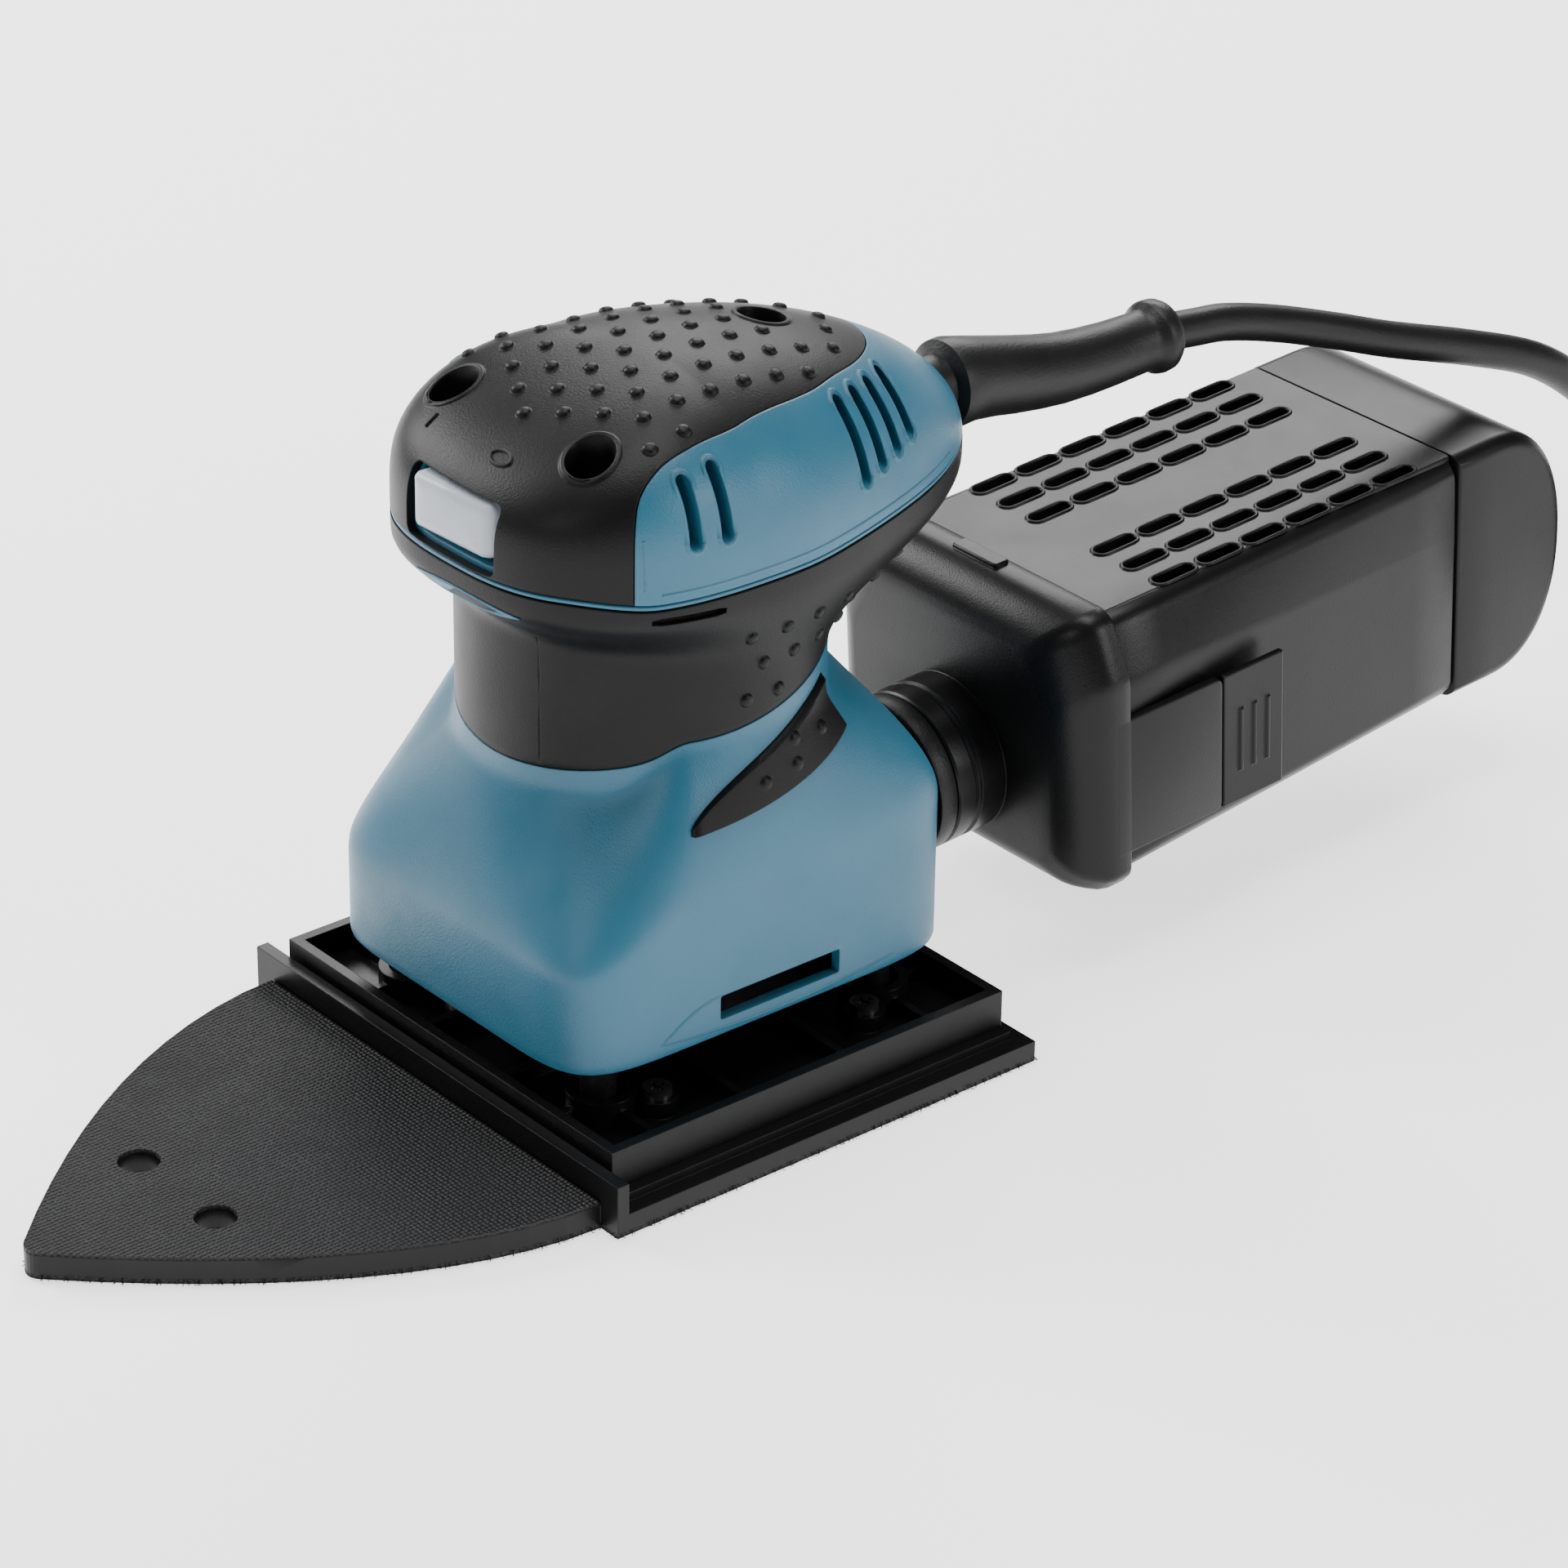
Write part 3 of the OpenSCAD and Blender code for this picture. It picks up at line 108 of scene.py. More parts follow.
def loft(rings, loop=False, caps=True):
    """Vertices and faces of a skin over rings of equal length. A loop joins the last ring to the first."""
    n = len(rings[0])
    verts = [p for ring in rings for p in ring]
    faces = []
    last = len(rings) if loop else len(rings) - 1
    for k in range(last):
        m = (k + 1) % len(rings)
        for i in range(n):
            j = (i + 1) % n
            faces.append((k * n + i, k * n + j, m * n + j, m * n + i))
    if caps and not loop:
        faces.append(tuple(range(n - 1, -1, -1)))
        faces.append(tuple((len(rings) - 1) * n + i for i in range(n)))
    return verts, faces


def join(name, parts, sharp=SHARP):
    verts, faces = [], []
    for v, f in parts:
        base = len(verts)
        verts += v
        faces += [tuple(i + base for i in face) for face in f]
    return mesh_piece(name, verts, faces, sharp)


def prism(outline, z0, z1):
    return loft([[(x, y, z0) for x, y in outline], [(x, y, z1) for x, y in outline]])


def bar_along_x(outline, x0, x1):
    """An outline of (y, z) points, drawn out from x0 to x1."""
    return loft([[(x0, y, z) for y, z in outline], [(x1, y, z) for y, z in outline]])


def bar_along_y(outline, y0, y1):
    """An outline of (x, z) points, drawn out from y0 to y1."""
    return loft([[(x, y0, z) for x, z in outline], [(x, y1, z) for x, z in outline]])


def signed_power(value, power):
    return math.copysign(abs(value) ** power, value)


def tube(path, radii, sides=16, loop=False):
    """A round tube along a path, with its own radius at each point."""
    rings = []
    n = len(path)
    for i, p in enumerate(path):
        a = path[(i - 1) % n] if loop else path[max(i - 1, 0)]
        b = path[(i + 1) % n] if loop else path[min(i + 1, n - 1)]
        d = (Vector(b) - Vector(a)).normalized()
        u = d.cross(Vector((0, 0, 1)))
        u = u.normalized() if u.length > 0.01 else Vector((1, 0, 0))
        w = d.cross(u)
        r = radii if isinstance(radii, (int, float)) else radii[i]
        rings.append([tuple(Vector(p) + r * (cos(2 * pi * k / sides) * u + sin(2 * pi * k / sides) * w))
                      for k in range(sides)])
    return loft(rings, loop=loop)


def spin(profile, sides, place):
    """Turns a profile of (radius, height) round an axis; place maps x, y, z to where it goes."""
    rings = [[place(r * cos(2 * pi * k / sides), r * sin(2 * pi * k / sides), z) for k in range(sides)]
             for r, z in profile]
    return loft(rings)


def rounded(points, radii, seg=6):
    """A closed outline with its corners rounded."""
    out = []
    n = len(points)
    for i, p in enumerate(points):
        r = radii if isinstance(radii, (int, float)) else radii[i]
        p = Vector(p)
        a, b = Vector(points[i - 1]) - p, Vector(points[(i + 1) % n]) - p
        if r <= 0:
            out += [tuple(p)] * (seg + 1)
            continue
        half = a.angle(b) / 2
        d = min(r / math.tan(half), 0.48 * a.length, 0.48 * b.length)
        r = d * math.tan(half)
        centre = p + (a.normalized() + b.normalized()).normalized() * (r / sin(half))
        start, end = p + a.normalized() * d, p + b.normalized() * d
        va, vb = start - centre, end - centre
        turn = va.angle(vb) if va.length > 1e-9 and vb.length > 1e-9 else 0
        for k in range(seg + 1):
            t = k / seg
            if turn < 1e-6:
                out.append(tuple(start))
            else:
                v = (va * sin((1 - t) * turn) + vb * sin(t * turn)) / sin(turn)
                out.append(tuple(centre + v))
    return out


def cut(target, cutter, operation="DIFFERENCE"):
    """A boolean whose result is kept in the target's mesh; the cutter goes away."""
    before = len(target.data.polygons)
    for solver in ("MANIFOLD", "EXACT"):
        mod = target.modifiers.new("cut", "BOOLEAN")
        mod.operation = operation
        mod.solver = solver
        mod.object = cutter
        bpy.context.view_layer.update()
        done = bpy.data.meshes.new_from_object(
            target.evaluated_get(bpy.context.evaluated_depsgraph_get()))
        target.modifiers.remove(mod)
        if len(done.polygons) > 3 and (len(done.polygons) != before or solver == "EXACT"):
            break
    name = target.data.name
    old = target.data
    target.data = done
    bpy.data.meshes.remove(old)
    done.name = name
    bpy.data.objects.remove(cutter)
    done.shade_smooth()
    done.set_sharp_from_angle(angle=radians(SHARP))
    return target


def merge(target, *others, sharp=SHARP):
    """Puts other objects' meshes into the target's mesh, as loose parts of one piece."""
    bm = bmesh.new()
    bm.from_mesh(target.data)
    for o in others:
        bm.from_mesh(o.data)
        bpy.data.objects.remove(o)
    bm.to_mesh(target.data)
    bm.free()
    target.data.shade_smooth()
    target.data.set_sharp_from_angle(angle=radians(sharp))
    return target


# ------ materials
def set_inputs(node, **values):
    """Sets constant values on a node's sockets; an underscore stands for a space in their names."""
    for key, value in values.items():
        node.inputs[key.replace("_", " ")].default_value = value
    return node


def finish_of(name, colour, rough, grain, strength, dark=0.75, light=1.2, metal=0.0, wear=0.0,
              bevel=0.0, extra=None, spread=0.08, patch=45.0, **sockets):
    """A moulded, cast or machined surface: mottled colour, uneven roughness and a fine grain."""
    mat = bpy.data.materials.new(name)
    mat.use_nodes = True
    tree = mat.node_tree
    nodes, links = tree.nodes, tree.links
    shader = nodes["Principled BSDF"]
    set_inputs(shader, Metallic=metal, **sockets)
    where = nodes.new("ShaderNodeTexCoord").outputs["Object"]

    def noise(scale, detail):
        node = set_inputs(nodes.new("ShaderNodeTexNoise"), Scale=scale, Detail=detail)
        links.new(where, node.inputs["Vector"])
        return node.outputs["Fac"]

    def ramp(source, low, high, a, b):
        node = set_inputs(nodes.new("ShaderNodeMapRange"), From_Min=low, From_Max=high, To_Min=a, To_Max=b)
        links.new(source, node.inputs["Value"])
        return node.outputs["Result"]

    def blend(factor, a, b):
        node = nodes.new("ShaderNodeMix")
        node.data_type = "RGBA"
        for socket, value in ((node.inputs["Factor"], factor), (node.inputs["A"], a), (node.inputs["B"], b)):
            if isinstance(value, bpy.types.NodeSocket):
                links.new(value, socket)
            else:
                socket.default_value = value
        return node.outputs["Result"]

    low = tuple(c * dark for c in colour) + (1.0,)
    high = tuple(min(c * light, 1.0) for c in colour) + (1.0,)
    tone = blend(ramp(noise(patch, 4.0), 0.3, 0.7, 0.0, 1.0), low, high)
    fine = noise(grain * 0.6, 2.0)
    tone = blend(ramp(fine, 0.35, 0.75, 0.0, 0.35), tone, high)
    if wear:
        edge = nodes.new("ShaderNodeNewGeometry").outputs["Pointiness"]
        worn = tuple(min(c * 2.6 + 0.03, 1.0) for c in colour) + (1.0,)
        tone = blend(ramp(edge, 0.54, 0.64, 0.0, wear), tone, worn)
    links.new(tone, shader.inputs["Base Color"])
    links.new(ramp(noise(patch * 2.2, 5.0), 0.25, 0.75, rough - spread, rough + spread),
              shader.inputs["Roughness"])
    bump = set_inputs(nodes.new("ShaderNodeBump"), Strength=strength, Distance=BUMP_DEPTH)
    height = extra(nodes, links, where, shader, tone) if extra else noise(grain, 3.0)
    links.new(height, bump.inputs["Height"])
    if bevel:
        soft = set_inputs(nodes.new("ShaderNodeBevel"), Radius=bevel * MM)
        soft.samples = 4
        links.new(soft.outputs["Normal"], bump.inputs["Normal"])
    links.new(bump.outputs["Normal"], shader.inputs["Normal"])
    return mat


def pile(nodes, links, where, shader, tone):
    """Small loops in staggered rows, with a painted highlight: a lighter dot of colour on the top of each."""
    cells = set_inputs(nodes.new("ShaderNodeTexVoronoi"), Scale=1050.0, Randomness=0.22)
    links.new(where, cells.inputs["Vector"])
    top = set_inputs(nodes.new("ShaderNodeMapRange"), From_Min=0.1, From_Max=0.55, To_Min=1.0, To_Max=0.0)
    links.new(cells.outputs["Distance"], top.inputs["Value"])
    # Painted highlight: a lighter colour on the top of each loop, standing in for light falling on it; the
    # same mask also gives the loops their bump
    painted_highlight_dots = nodes.new("ShaderNodeMix")
    painted_highlight_dots.data_type = "RGBA"
    painted_highlight_dots.inputs["B"].default_value = (0.022, 0.022, 0.024, 1.0)
    links.new(top.outputs["Result"], painted_highlight_dots.inputs["Factor"])
    links.new(tone, painted_highlight_dots.inputs["A"])
    links.new(painted_highlight_dots.outputs["Result"], shader.inputs["Base Color"])
    return top.outputs["Result"]


def weave(nodes, links, where, shader, tone):
    """Crossed threads."""
    height = None
    for direction in ("X", "Y"):
        wave = set_inputs(nodes.new("ShaderNodeTexWave"), Scale=260.0, Distortion=0.6)
        wave.bands_direction = direction
        links.new(where, wave.inputs["Vector"])
        if height is None:
            height = wave.outputs["Fac"]
        else:
            high = nodes.new("ShaderNodeMath")
            high.operation = "MAXIMUM"
            links.new(height, high.inputs[0])
            links.new(wave.outputs["Fac"], high.inputs[1])
            height = high.outputs["Value"]
    return height


def stack(nodes, links, where, shader, tone):
    """The edges of stamped sheets, one on another."""
    wave = set_inputs(nodes.new("ShaderNodeTexWave"), Scale=310.0, Distortion=0.1)
    wave.bands_direction = "Z"
    links.new(where, wave.inputs["Vector"])
    return wave.outputs["Fac"]


FINISHES = {
    "blue_shell": dict(colour=(0.022, 0.118, 0.188), rough=0.38, grain=2600, strength=0.22, dark=0.94,
                       light=1.06, bevel=0.45, wear=0.05, Specular_IOR_Level=0.4),
    "black_grip": dict(colour=(0.0045, 0.0045, 0.005), rough=0.42, grain=2600, strength=0.18, bevel=0.35,
                       spread=0.03, Specular_IOR_Level=0.17),
    "black_plastic": dict(colour=(0.004, 0.004, 0.0044), rough=0.34, grain=2600, strength=0.1, spread=0.025,
                          bevel=0.3, Specular_IOR_Level=0.2),
    "black_rubber": dict(colour=(0.006, 0.006, 0.0065), rough=0.42, grain=1800, strength=0.2, spread=0.03,
                         Specular_IOR_Level=0.25),
    "dark_steel": dict(colour=(0.16, 0.16, 0.165), rough=0.28, grain=800, strength=0.15, metal=0.9),
    "hook_fabric": dict(colour=(0.004, 0.004, 0.0045), rough=0.6, grain=900, strength=1.0, extra=pile,
                        Specular_IOR_Level=0.3),
    "felt": dict(colour=(0.03, 0.03, 0.032), rough=0.95, grain=600, strength=1.0),
    "steel": dict(colour=(0.5, 0.5, 0.52), rough=0.3, grain=700, strength=0.12, metal=1.0),
    "aluminium": dict(colour=(0.58, 0.59, 0.61), rough=0.45, grain=420, strength=0.4, metal=1.0),
    "zinc": dict(colour=(0.42, 0.4, 0.34), rough=0.42, grain=380, strength=0.35, metal=1.0),
    "laminations": dict(colour=(0.3, 0.3, 0.32), rough=0.4, grain=500, strength=0.5, metal=1.0, extra=stack),
    "copper": dict(colour=(0.62, 0.26, 0.1), rough=0.32, grain=500, strength=0.5, metal=1.0, extra=stack),
    "brass": dict(colour=(0.66, 0.5, 0.2), rough=0.3, grain=600, strength=0.15, metal=1.0),
    "carbon": dict(colour=(0.03, 0.03, 0.032), rough=0.6, grain=900, strength=0.3),
    "fan_plastic": dict(colour=(0.7, 0.7, 0.66), rough=0.45, grain=800, strength=0.15),
    "clear_boot": dict(colour=(0.62, 0.68, 0.74), rough=0.3, grain=700, strength=0.08, dark=0.95, light=1.03,
                       Transmission_Weight=0.35, IOR=1.42),
    "filter_cloth": dict(colour=(0.6, 0.54, 0.42), rough=0.9, grain=500, strength=0.8, extra=weave),
}
MATERIAL = {name: finish_of(name, **facts) for name, facts in FINISHES.items()}
NODE_SLOT = {}
for part in frame["record"]["subparts"]:
    NODE_SLOT[part["node"]] = part["material_slot"]


def dress(obj, slot, body, *nodes):
    """Gives a piece its material and body, and hides the CAD nodes it stands in for."""
    obj.data.materials.clear()
    obj.data.materials.append(MATERIAL[slot])
    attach(obj, body)
    if nodes:
        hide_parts(*nodes)
    return obj


SOFT_EDGED = {"pad_plate": 0.5, "base_frame": 0.35, "latch_left": 0.4, "latch_right": 0.4,
              "hook_pad": 0.2, "baffle_plate": 0.3, "cord_tie": 0.3, "cord_clamp": 0.4,
              "dust_spout": 0.4, "spout_seal": 0.5, "switch_rocker": 0.3, "switch_body": 0.3}
for node, obj in frame["nodes"].items():
    look = MATERIAL["dark_steel" if node in ("cover_screws", "pad_screws") else NODE_SLOT[node]]
    if not obj.material_slots:
        obj.data.materials.append(look)
    for place in obj.material_slots:
        place.material = look
    if node in SOFT_EDGED:
        weld = obj.modifiers.new("weld", "WELD")
        weld.merge_threshold = 1e-5
        edge = obj.modifiers.new("edge", "BEVEL")
        edge.width = SOFT_EDGED[node] * MM
        edge.segments = 2
        edge.limit_method = "ANGLE"
        edge.angle_limit = radians(40)
        edge.use_clamp_overlap = True

# ------ mains lead
CORD_D = 7.6
GUARD_Z = 115.0
CORD_Y = 130.0
LEAD = [(0, 0, 110.1), (0.2, 8, 109.2), (0.6, 16.4, 108.3), (1.4, 29.6, 104.8), (4.1, 43.2, 100.6),
        (6.8, 57, 95.9), (9.6, 78.5, 89.2), (12.3, 94.4, 83.4), (12.6, 108, 74.5), (9.5, 121, 63),
        (4.5, 134, 49.5), (-1.5, 147, 35), (-8.5, 160, 21.5), (-16, 173, 11.5), (-21.5, 185, 5.8),
        (-24.2, 194, 3.9)]
COIL = (28.0, 333.0)
COIL_IN, COIL_OUT, LEAD_R = 37.4, 45.0, 52.7
COIL_TOP = 3 * CORD_D
RIDE_R = (COIL_IN + COIL_OUT) / 2
PLUG_TURN = radians(60)
PLUG_Z = COIL_TOP + 11.6
LEVEL = [CORD_D / 2 + CORD_D * k for k in range(4)]
# Where the winding goes at each move: radius and height, in this order
SEATS = [(LEAD_R, LEVEL[0]), (COIL_OUT, LEVEL[0]), (COIL_IN, LEVEL[0]), (COIL_IN, LEVEL[1]),
         (COIL_OUT, LEVEL[1]), (COIL_OUT, LEVEL[2]), (COIL_IN, LEVEL[2]), (RIDE_R, LEVEL[3])]
SHIFT = 0.25          # share of a turn that one move takes
LEAD_IN = 0.075       # how much earlier each move starts than the one under it
TURNS, TURN_STEPS = 5.98, 96
# The end of the lead over the coil: direction in degrees, then how far out and how far up it goes
RISE_TO_PLUG = [(170, 0, 0), (152, 0.2, 0.4), (136, 0.8, 2), (120, 1.6, 4.8), (108, 2.3, 6.8),
                (96, 2.9, 7.7)]
PLUG_MOUTH = -16.9    # where the lead enters the plug, along its axis
PIN_GAP = 19.0


def wound(u):
    """A point of the winding after u turns, clockwise from the lead."""
    r, z = SEATS[0]
    for k in range(1, len(SEATS)):
        start = 0.0 if k == 1 else (k - 1) - (k - 2) * LEAD_IN
        t = ease((u - start) / SHIFT)
        nr, nz = SEATS[k]
        last = k == len(SEATS) - 1
        r, z = mix(r, nr, t ** 3 if last else t), mix(z, nz, t)
    a = pi - 2 * pi * u
    return COIL[0] + r * cos(a), COIL[1] + r * sin(a), z


def cord_points():
    pts = [(x, y + CORD_Y, z) for x, y, z in LEAD]
    pts += [wound(TURNS * k / TURN_STEPS) for k in range(TURN_STEPS + 1)]
    for a, dr, dz in RISE_TO_PLUG:
        r = RIDE_R + dr
        pts.append((COIL[0] + r * cos(radians(a)), COIL[1] + r * sin(radians(a)), LEVEL[3] + dz))
    pts.append(plug_place(PLUG_MOUTH, 0, 0))
    return pts


def plug_place(x, y, z):
    """Along, across and above the plug's axis, lying on the coil."""
    a = PLUG_TURN - pi / 2
    mx, my = COIL[0] + RIDE_R * cos(PLUG_TURN), COIL[1] + RIDE_R * sin(PLUG_TURN)
    return mx + x * cos(a) - y * sin(a), my + x * sin(a) + y * cos(a), PLUG_Z + z


def make_cord():
    pts = cord_points()
    data = bpy.data.curves.new("mains_lead", "CURVE")
    data.dimensions = "3D"
    data.bevel_depth = CORD_D / 2 * MM
    data.bevel_resolution = 6
    data.resolution_u = 5
    data.use_fill_caps = True
    line = data.splines.new("BEZIER")
    line.bezier_points.add(len(pts) - 1)
    for i, p in enumerate(pts):
        here = Vector(p) * MM
        a = Vector(pts[max(i - 1, 0)]) * MM
        b = Vector(pts[min(i + 1, len(pts) - 1)]) * MM
        d = (b - a).normalized()
        point = line.bezier_points[i]
        point.handle_left_type = point.handle_right_type = "FREE"
        point.co = here
        point.handle_left = here - d * (here - a).length / 3
        point.handle_right = here + d * (b - here).length / 3
    return link(bpy.data.objects.new("mains_lead", data))


def section(w, h, n, x, count=48):
    """A rounded rectangle across the plug's axis."""
    ring = []
    for k in range(count):
        a = 2 * pi * k / count
        ring.append(plug_place(x, w * signed_power(cos(a), 2 / n), h * signed_power(sin(a), 2 / n)))
    return ring


cord_obj = dress(make_cord(), "black_rubber", "housing", "cord", "cord_coil")
# The plug's sections: place along its axis, half-width, half-height and squareness
PLUG_ROWS = [(-16, 4.4, 4.4, 2), (-15.8, 6.2, 6.0, 2), (-12, 9, 7, 2.4), (-8, 12.4, 8.0, 3),
             (-3, 14.6, 8.8, 3.4), (4, 15.8, 9.5, 3.6), (12, 16.4, 10, 3.6), (15.5, 16.5, 10.1, 3.6),
             (16.4, 15.9, 9.6, 3.4), (17.2, 15.9, 9.6, 3.4), (18, 16.4, 11.2, 2.6),
             (23.2, 16.5, 11.4, 2.6), (24, 16, 10.9, 2.6)]
PIN_ROWS = [(2.4, 23.5), (2.4, 33), (2.4, 33.01), (2.35, 41.5), (2.0, 42.6), (1.1, 43)]


def make_plug():
    return join("plug_moulding", [loft([section(w, h, n, x) for x, w, h, n in PLUG_ROWS])])


def make_pins():
    return join("plug_contacts", [spin(PIN_ROWS, 24, lambda a, b, x, s=side: plug_place(x, s + a, b))
                                  for side in (-PIN_GAP / 2, PIN_GAP / 2)])


plug = dress(make_plug(), "black_rubber", "housing", "plug_body")
plug_pins = dress(make_pins(), "brass", "housing", "plug_pins")

# ------ shape of the housing
COLS = 240
SKIRT_W, SKIRT_FRONT, SKIRT_REAR, SKIRT_N = 80.0, 45.5, 46.5, 7.0
HEAD_W, HEAD_FRONT, HEAD_REAR, HEAD_TOP = 77.0, 44.0, 72.0, 143.6
NECK_R, PART_Z, WALL, SKIN, LIP = 34.5, 111.0, 2.5, 1.8, 3.5
SKIRT_Z = 21.5
HEAD_N = (2.7, 1.85)


def super_r(a, w, l, n):
    return (abs(cos(a) / w) ** n + abs(sin(a) / l) ** n) ** (-1 / n)


def front_share(a):
    return ease((-sin(a) - 0.4) / 0.4)


def rear_share(a):
    return (1 + sin(a)) / 2


def skirt_at(a):
    return super_r(a, SKIRT_W / 2, SKIRT_FRONT if sin(a) < 0 else SKIRT_REAR, SKIRT_N)


def head_at(a):
    front = sin(a) < 0
    return super_r(a, HEAD_W / 2, HEAD_FRONT if front else HEAD_REAR, HEAD_N[0] if front else HEAD_N[1])


def shoulder_z(a):
    return mix(53, 41, front_share(a))


def neck_z(a):
    return mix(78, 68, front_share(a))


def collar_z(a):
    return mix(98, 84, ease(rear_share(a)))


def rough_r(a, z):
    if z <= shoulder_z(a):
        return skirt_at(a)
    if z < neck_z(a):
        t = (z - shoulder_z(a)) / (neck_z(a) - shoulder_z(a))
        blend = mix(t ** 1.5, t ** 1.3, front_share(a))
        return mix(skirt_at(a), NECK_R, blend)
    if z < collar_z(a):
        return NECK_R
    return mix(NECK_R, head_at(a), ease((z - collar_z(a)) / (PART_Z - LIP - collar_z(a))))


def body_r(a, z):
    """The housing's radius, with its shoulder rounded off."""
    total = 0.0
    for d, w in ((-2.0, 1), (-1.0, 2), (0, 3), (1.0, 2), (2.0, 1)):
        total += w * rough_r(a, z + d)
    return total / 9


def part_line(a):
    """Height of the line where the head sits on the housing."""
    front = ease((-sin(a) - 0.55) / 0.3)
    rear = ease((sin(a) - 0.2) / 0.6)
    return 110.6 + 1.8 * front + 1.4 * rear


def sleeve_z(a):
    low, edge = neck_z(a) + 0.5, mix(71, 88, rear_share(a) ** 0.9)
    return (low + edge + sqrt((low - edge) ** 2 + 6.0)) / 2


def ring(inset, z_of):
    out = []
    for i in range(COLS):
        a = 2 * pi * i / COLS
        z = z_of(a)
        r = body_r(a, z) - inset
        out.append((r * cos(a), r * sin(a), z))
    return out


def between(low, high, t):
    return lambda a: mix(low(a), high(a), t)


SPOUT_TILT = radians(3.7)
SPOUT_Y, SPOUT_Z = 66, 34.5


def at_spout(x, y, z):
    """From the spout's own axes, with y along it, to the frame's."""
    c, s = cos(SPOUT_TILT), sin(SPOUT_TILT)
    return x, SPOUT_Y + y * c - z * s, SPOUT_Z + y * s + z * c


def on_spout(part):
    verts, faces = part
    return [at_spout(*p) for p in verts], faces


def cut_at_spout(target, parts):
    return cut(target, join("cutter", [on_spout(part) for part in parts]))


def spout_bar(radius, y0, y1, sides):
    """A round bar along the spout's axis, for its bores."""
    return spin([(radius, y0), (radius, y1)], sides, lambda x, z, y: at_spout(x, y, z))


def ease_rows(n):
    return [k / n for k in range(n + 1)]


def make_housing():
    low = lambda a: SKIRT_Z + 1.2
    lip_low = lambda a: part_line(a) - 0.5
    lip_top = lambda a: part_line(a) + 0.45
    rings = [ring(1.5, lambda a: SKIRT_Z), ring(0.8, lambda a: SKIRT_Z), ring(0.25, lambda a: SKIRT_Z + 0.35)]
    rings += [ring(0, between(low, sleeve_z, t)) for t in ease_rows(44)]
    rings += [ring(SKIN, sleeve_z)]
    rings += [ring(SKIN, between(sleeve_z, lip_low, t)) for t in (0.2, 0.4, 0.6, 0.7, 0.8, 0.9, 1)]
    rings += [ring(0.5, lip_low), ring(0.15, lambda a: lip_low(a) + 0.2)]
    rings += [ring(0.15, lambda a: lip_top(a) - 0.2), ring(0.45, lip_top), ring(SKIN + WALL, lip_top)]
    rings += [ring(SKIN + WALL, between(lip_low, sleeve_z, t)) for t in (0.05, 0.2, 0.3, 0.4, 0.6, 0.8, 1)]
    rings += [ring(mix(SKIN, 0, ease(t * 1.6)) + WALL, between(sleeve_z, low, t)) for t in ease_rows(16)[1:]]
    rings += [ring(WALL, lambda a: SKIRT_Z + 0.4), ring(WALL - 0.4, lambda a: SKIRT_Z)]
    v, f = loft(rings, loop=True)
    shell = mesh_piece("housing_shell", v, f)
    cut(shell, join("cutter", [spout_bar(14.05, -30, 30, 64)]))
    window = rounded([(-13, 25), (15.5, 25), (15.5, 30), (-13, 30)], 0.5, 3)
    for side in (-1, 1):
        x0, x1 = sorted((side * 34, side * 46))
        cut(shell, join("cutter", [bar_along_x(window, x0, x1)]))
    return shell


def skirt_arcs():
    """The moulded arc that runs under each side window of the skirt and rises to its ends."""
    runs = [(40, 0.28, (-27, 29.5), lambda t: 24.1 - 1.2 * sin(pi * t) + 0.4 * (1 - sin(pi * t))),
            (24, 0.22, (-27, -13), lambda t: mix(24.5, 30.2, sin(pi / 2 * t)))]
    parts = []
    for side in (-1, 1):
        for steps, thick, ends, z_at in runs:
            path = []
            for k in range(steps + 1):
                y, z = mix(*ends, k / steps), z_at(k / steps)
                a = math.atan2(y, SKIRT_W / 2)
                r = body_r(a, z) - 0.05
                path.append((side * r * cos(a), r * sin(a), z))
            radii = [thick * sin(pi * unit((k + 0.6) / (steps + 1))) ** 0.5 for k in range(steps + 1)]
            parts.append(tube(path, radii, 8))
    return join("arcs", parts)


def front_wedge():
    """The thin blue lens that shows through the sleeve under the front of the head."""
    rows = []
    for lift, share in ((-0.6, 1.0), (0.12, 1.0), (0.25, 0.8)):
        row = []
        for k in range(48):
            t = 2 * pi * k / 48
            x = 3.5 + 14.0 * share * cos(t)
            z = 107.0 + 1.35 * share * sin(t) * (0.35 + 0.65 * abs(sin(t)))
            a = math.atan2(-sqrt(max(44.0 ** 2 - x * x, 1)), x)
            r = body_r(a, z) + lift
            row.append((r * cos(a), r * sin(a), z))
        rows.append(row)
    return join("wedge", [loft(rows)])


housing = merge(make_housing(), skirt_arcs(), front_wedge())
dress(housing, "blue_shell", "housing", "motor_housing")


# ------ grip sleeve and leaves
DOME = [(1.05, 0), (1.0, 0), (0.9, 0.45), (0.68, 0.78), (0.35, 0.97)]
DOME_SUNK = 0.35      # how deep a bump's foot reaches into the surface


def bump_dome(centre, normal, r, h, sides=14):
    """A low round bump of radius r and height h. DOME gives shares of both, from its foot up."""
    n = Vector(normal).normalized()
    u = n.orthogonal().normalized()
    w = n.cross(u)
    c = Vector(centre) - DOME_SUNK * n
    rings = []
    for i, (share, rise) in enumerate(DOME):
        height = DOME_SUNK + h * rise if i else 0
        row = []
        for k in range(sides):
            a = 2 * pi * k / sides
            row.append(tuple(c + n * height + share * r * (cos(a) * u + sin(a) * w)))
        rings.append(row)
    return loft(rings)


def surface_normal(fn, a, z):
    """Outward normal of a surface given as radius by direction and height."""
    def at(a, z):
        r = fn(a, z)
        return Vector((r * cos(a), r * sin(a), z))
    da = at(a + 0.01, z) - at(a - 0.01, z)
    dz = at(a, z + 0.3) - at(a, z - 0.3)
    return da.cross(dz).normalized()


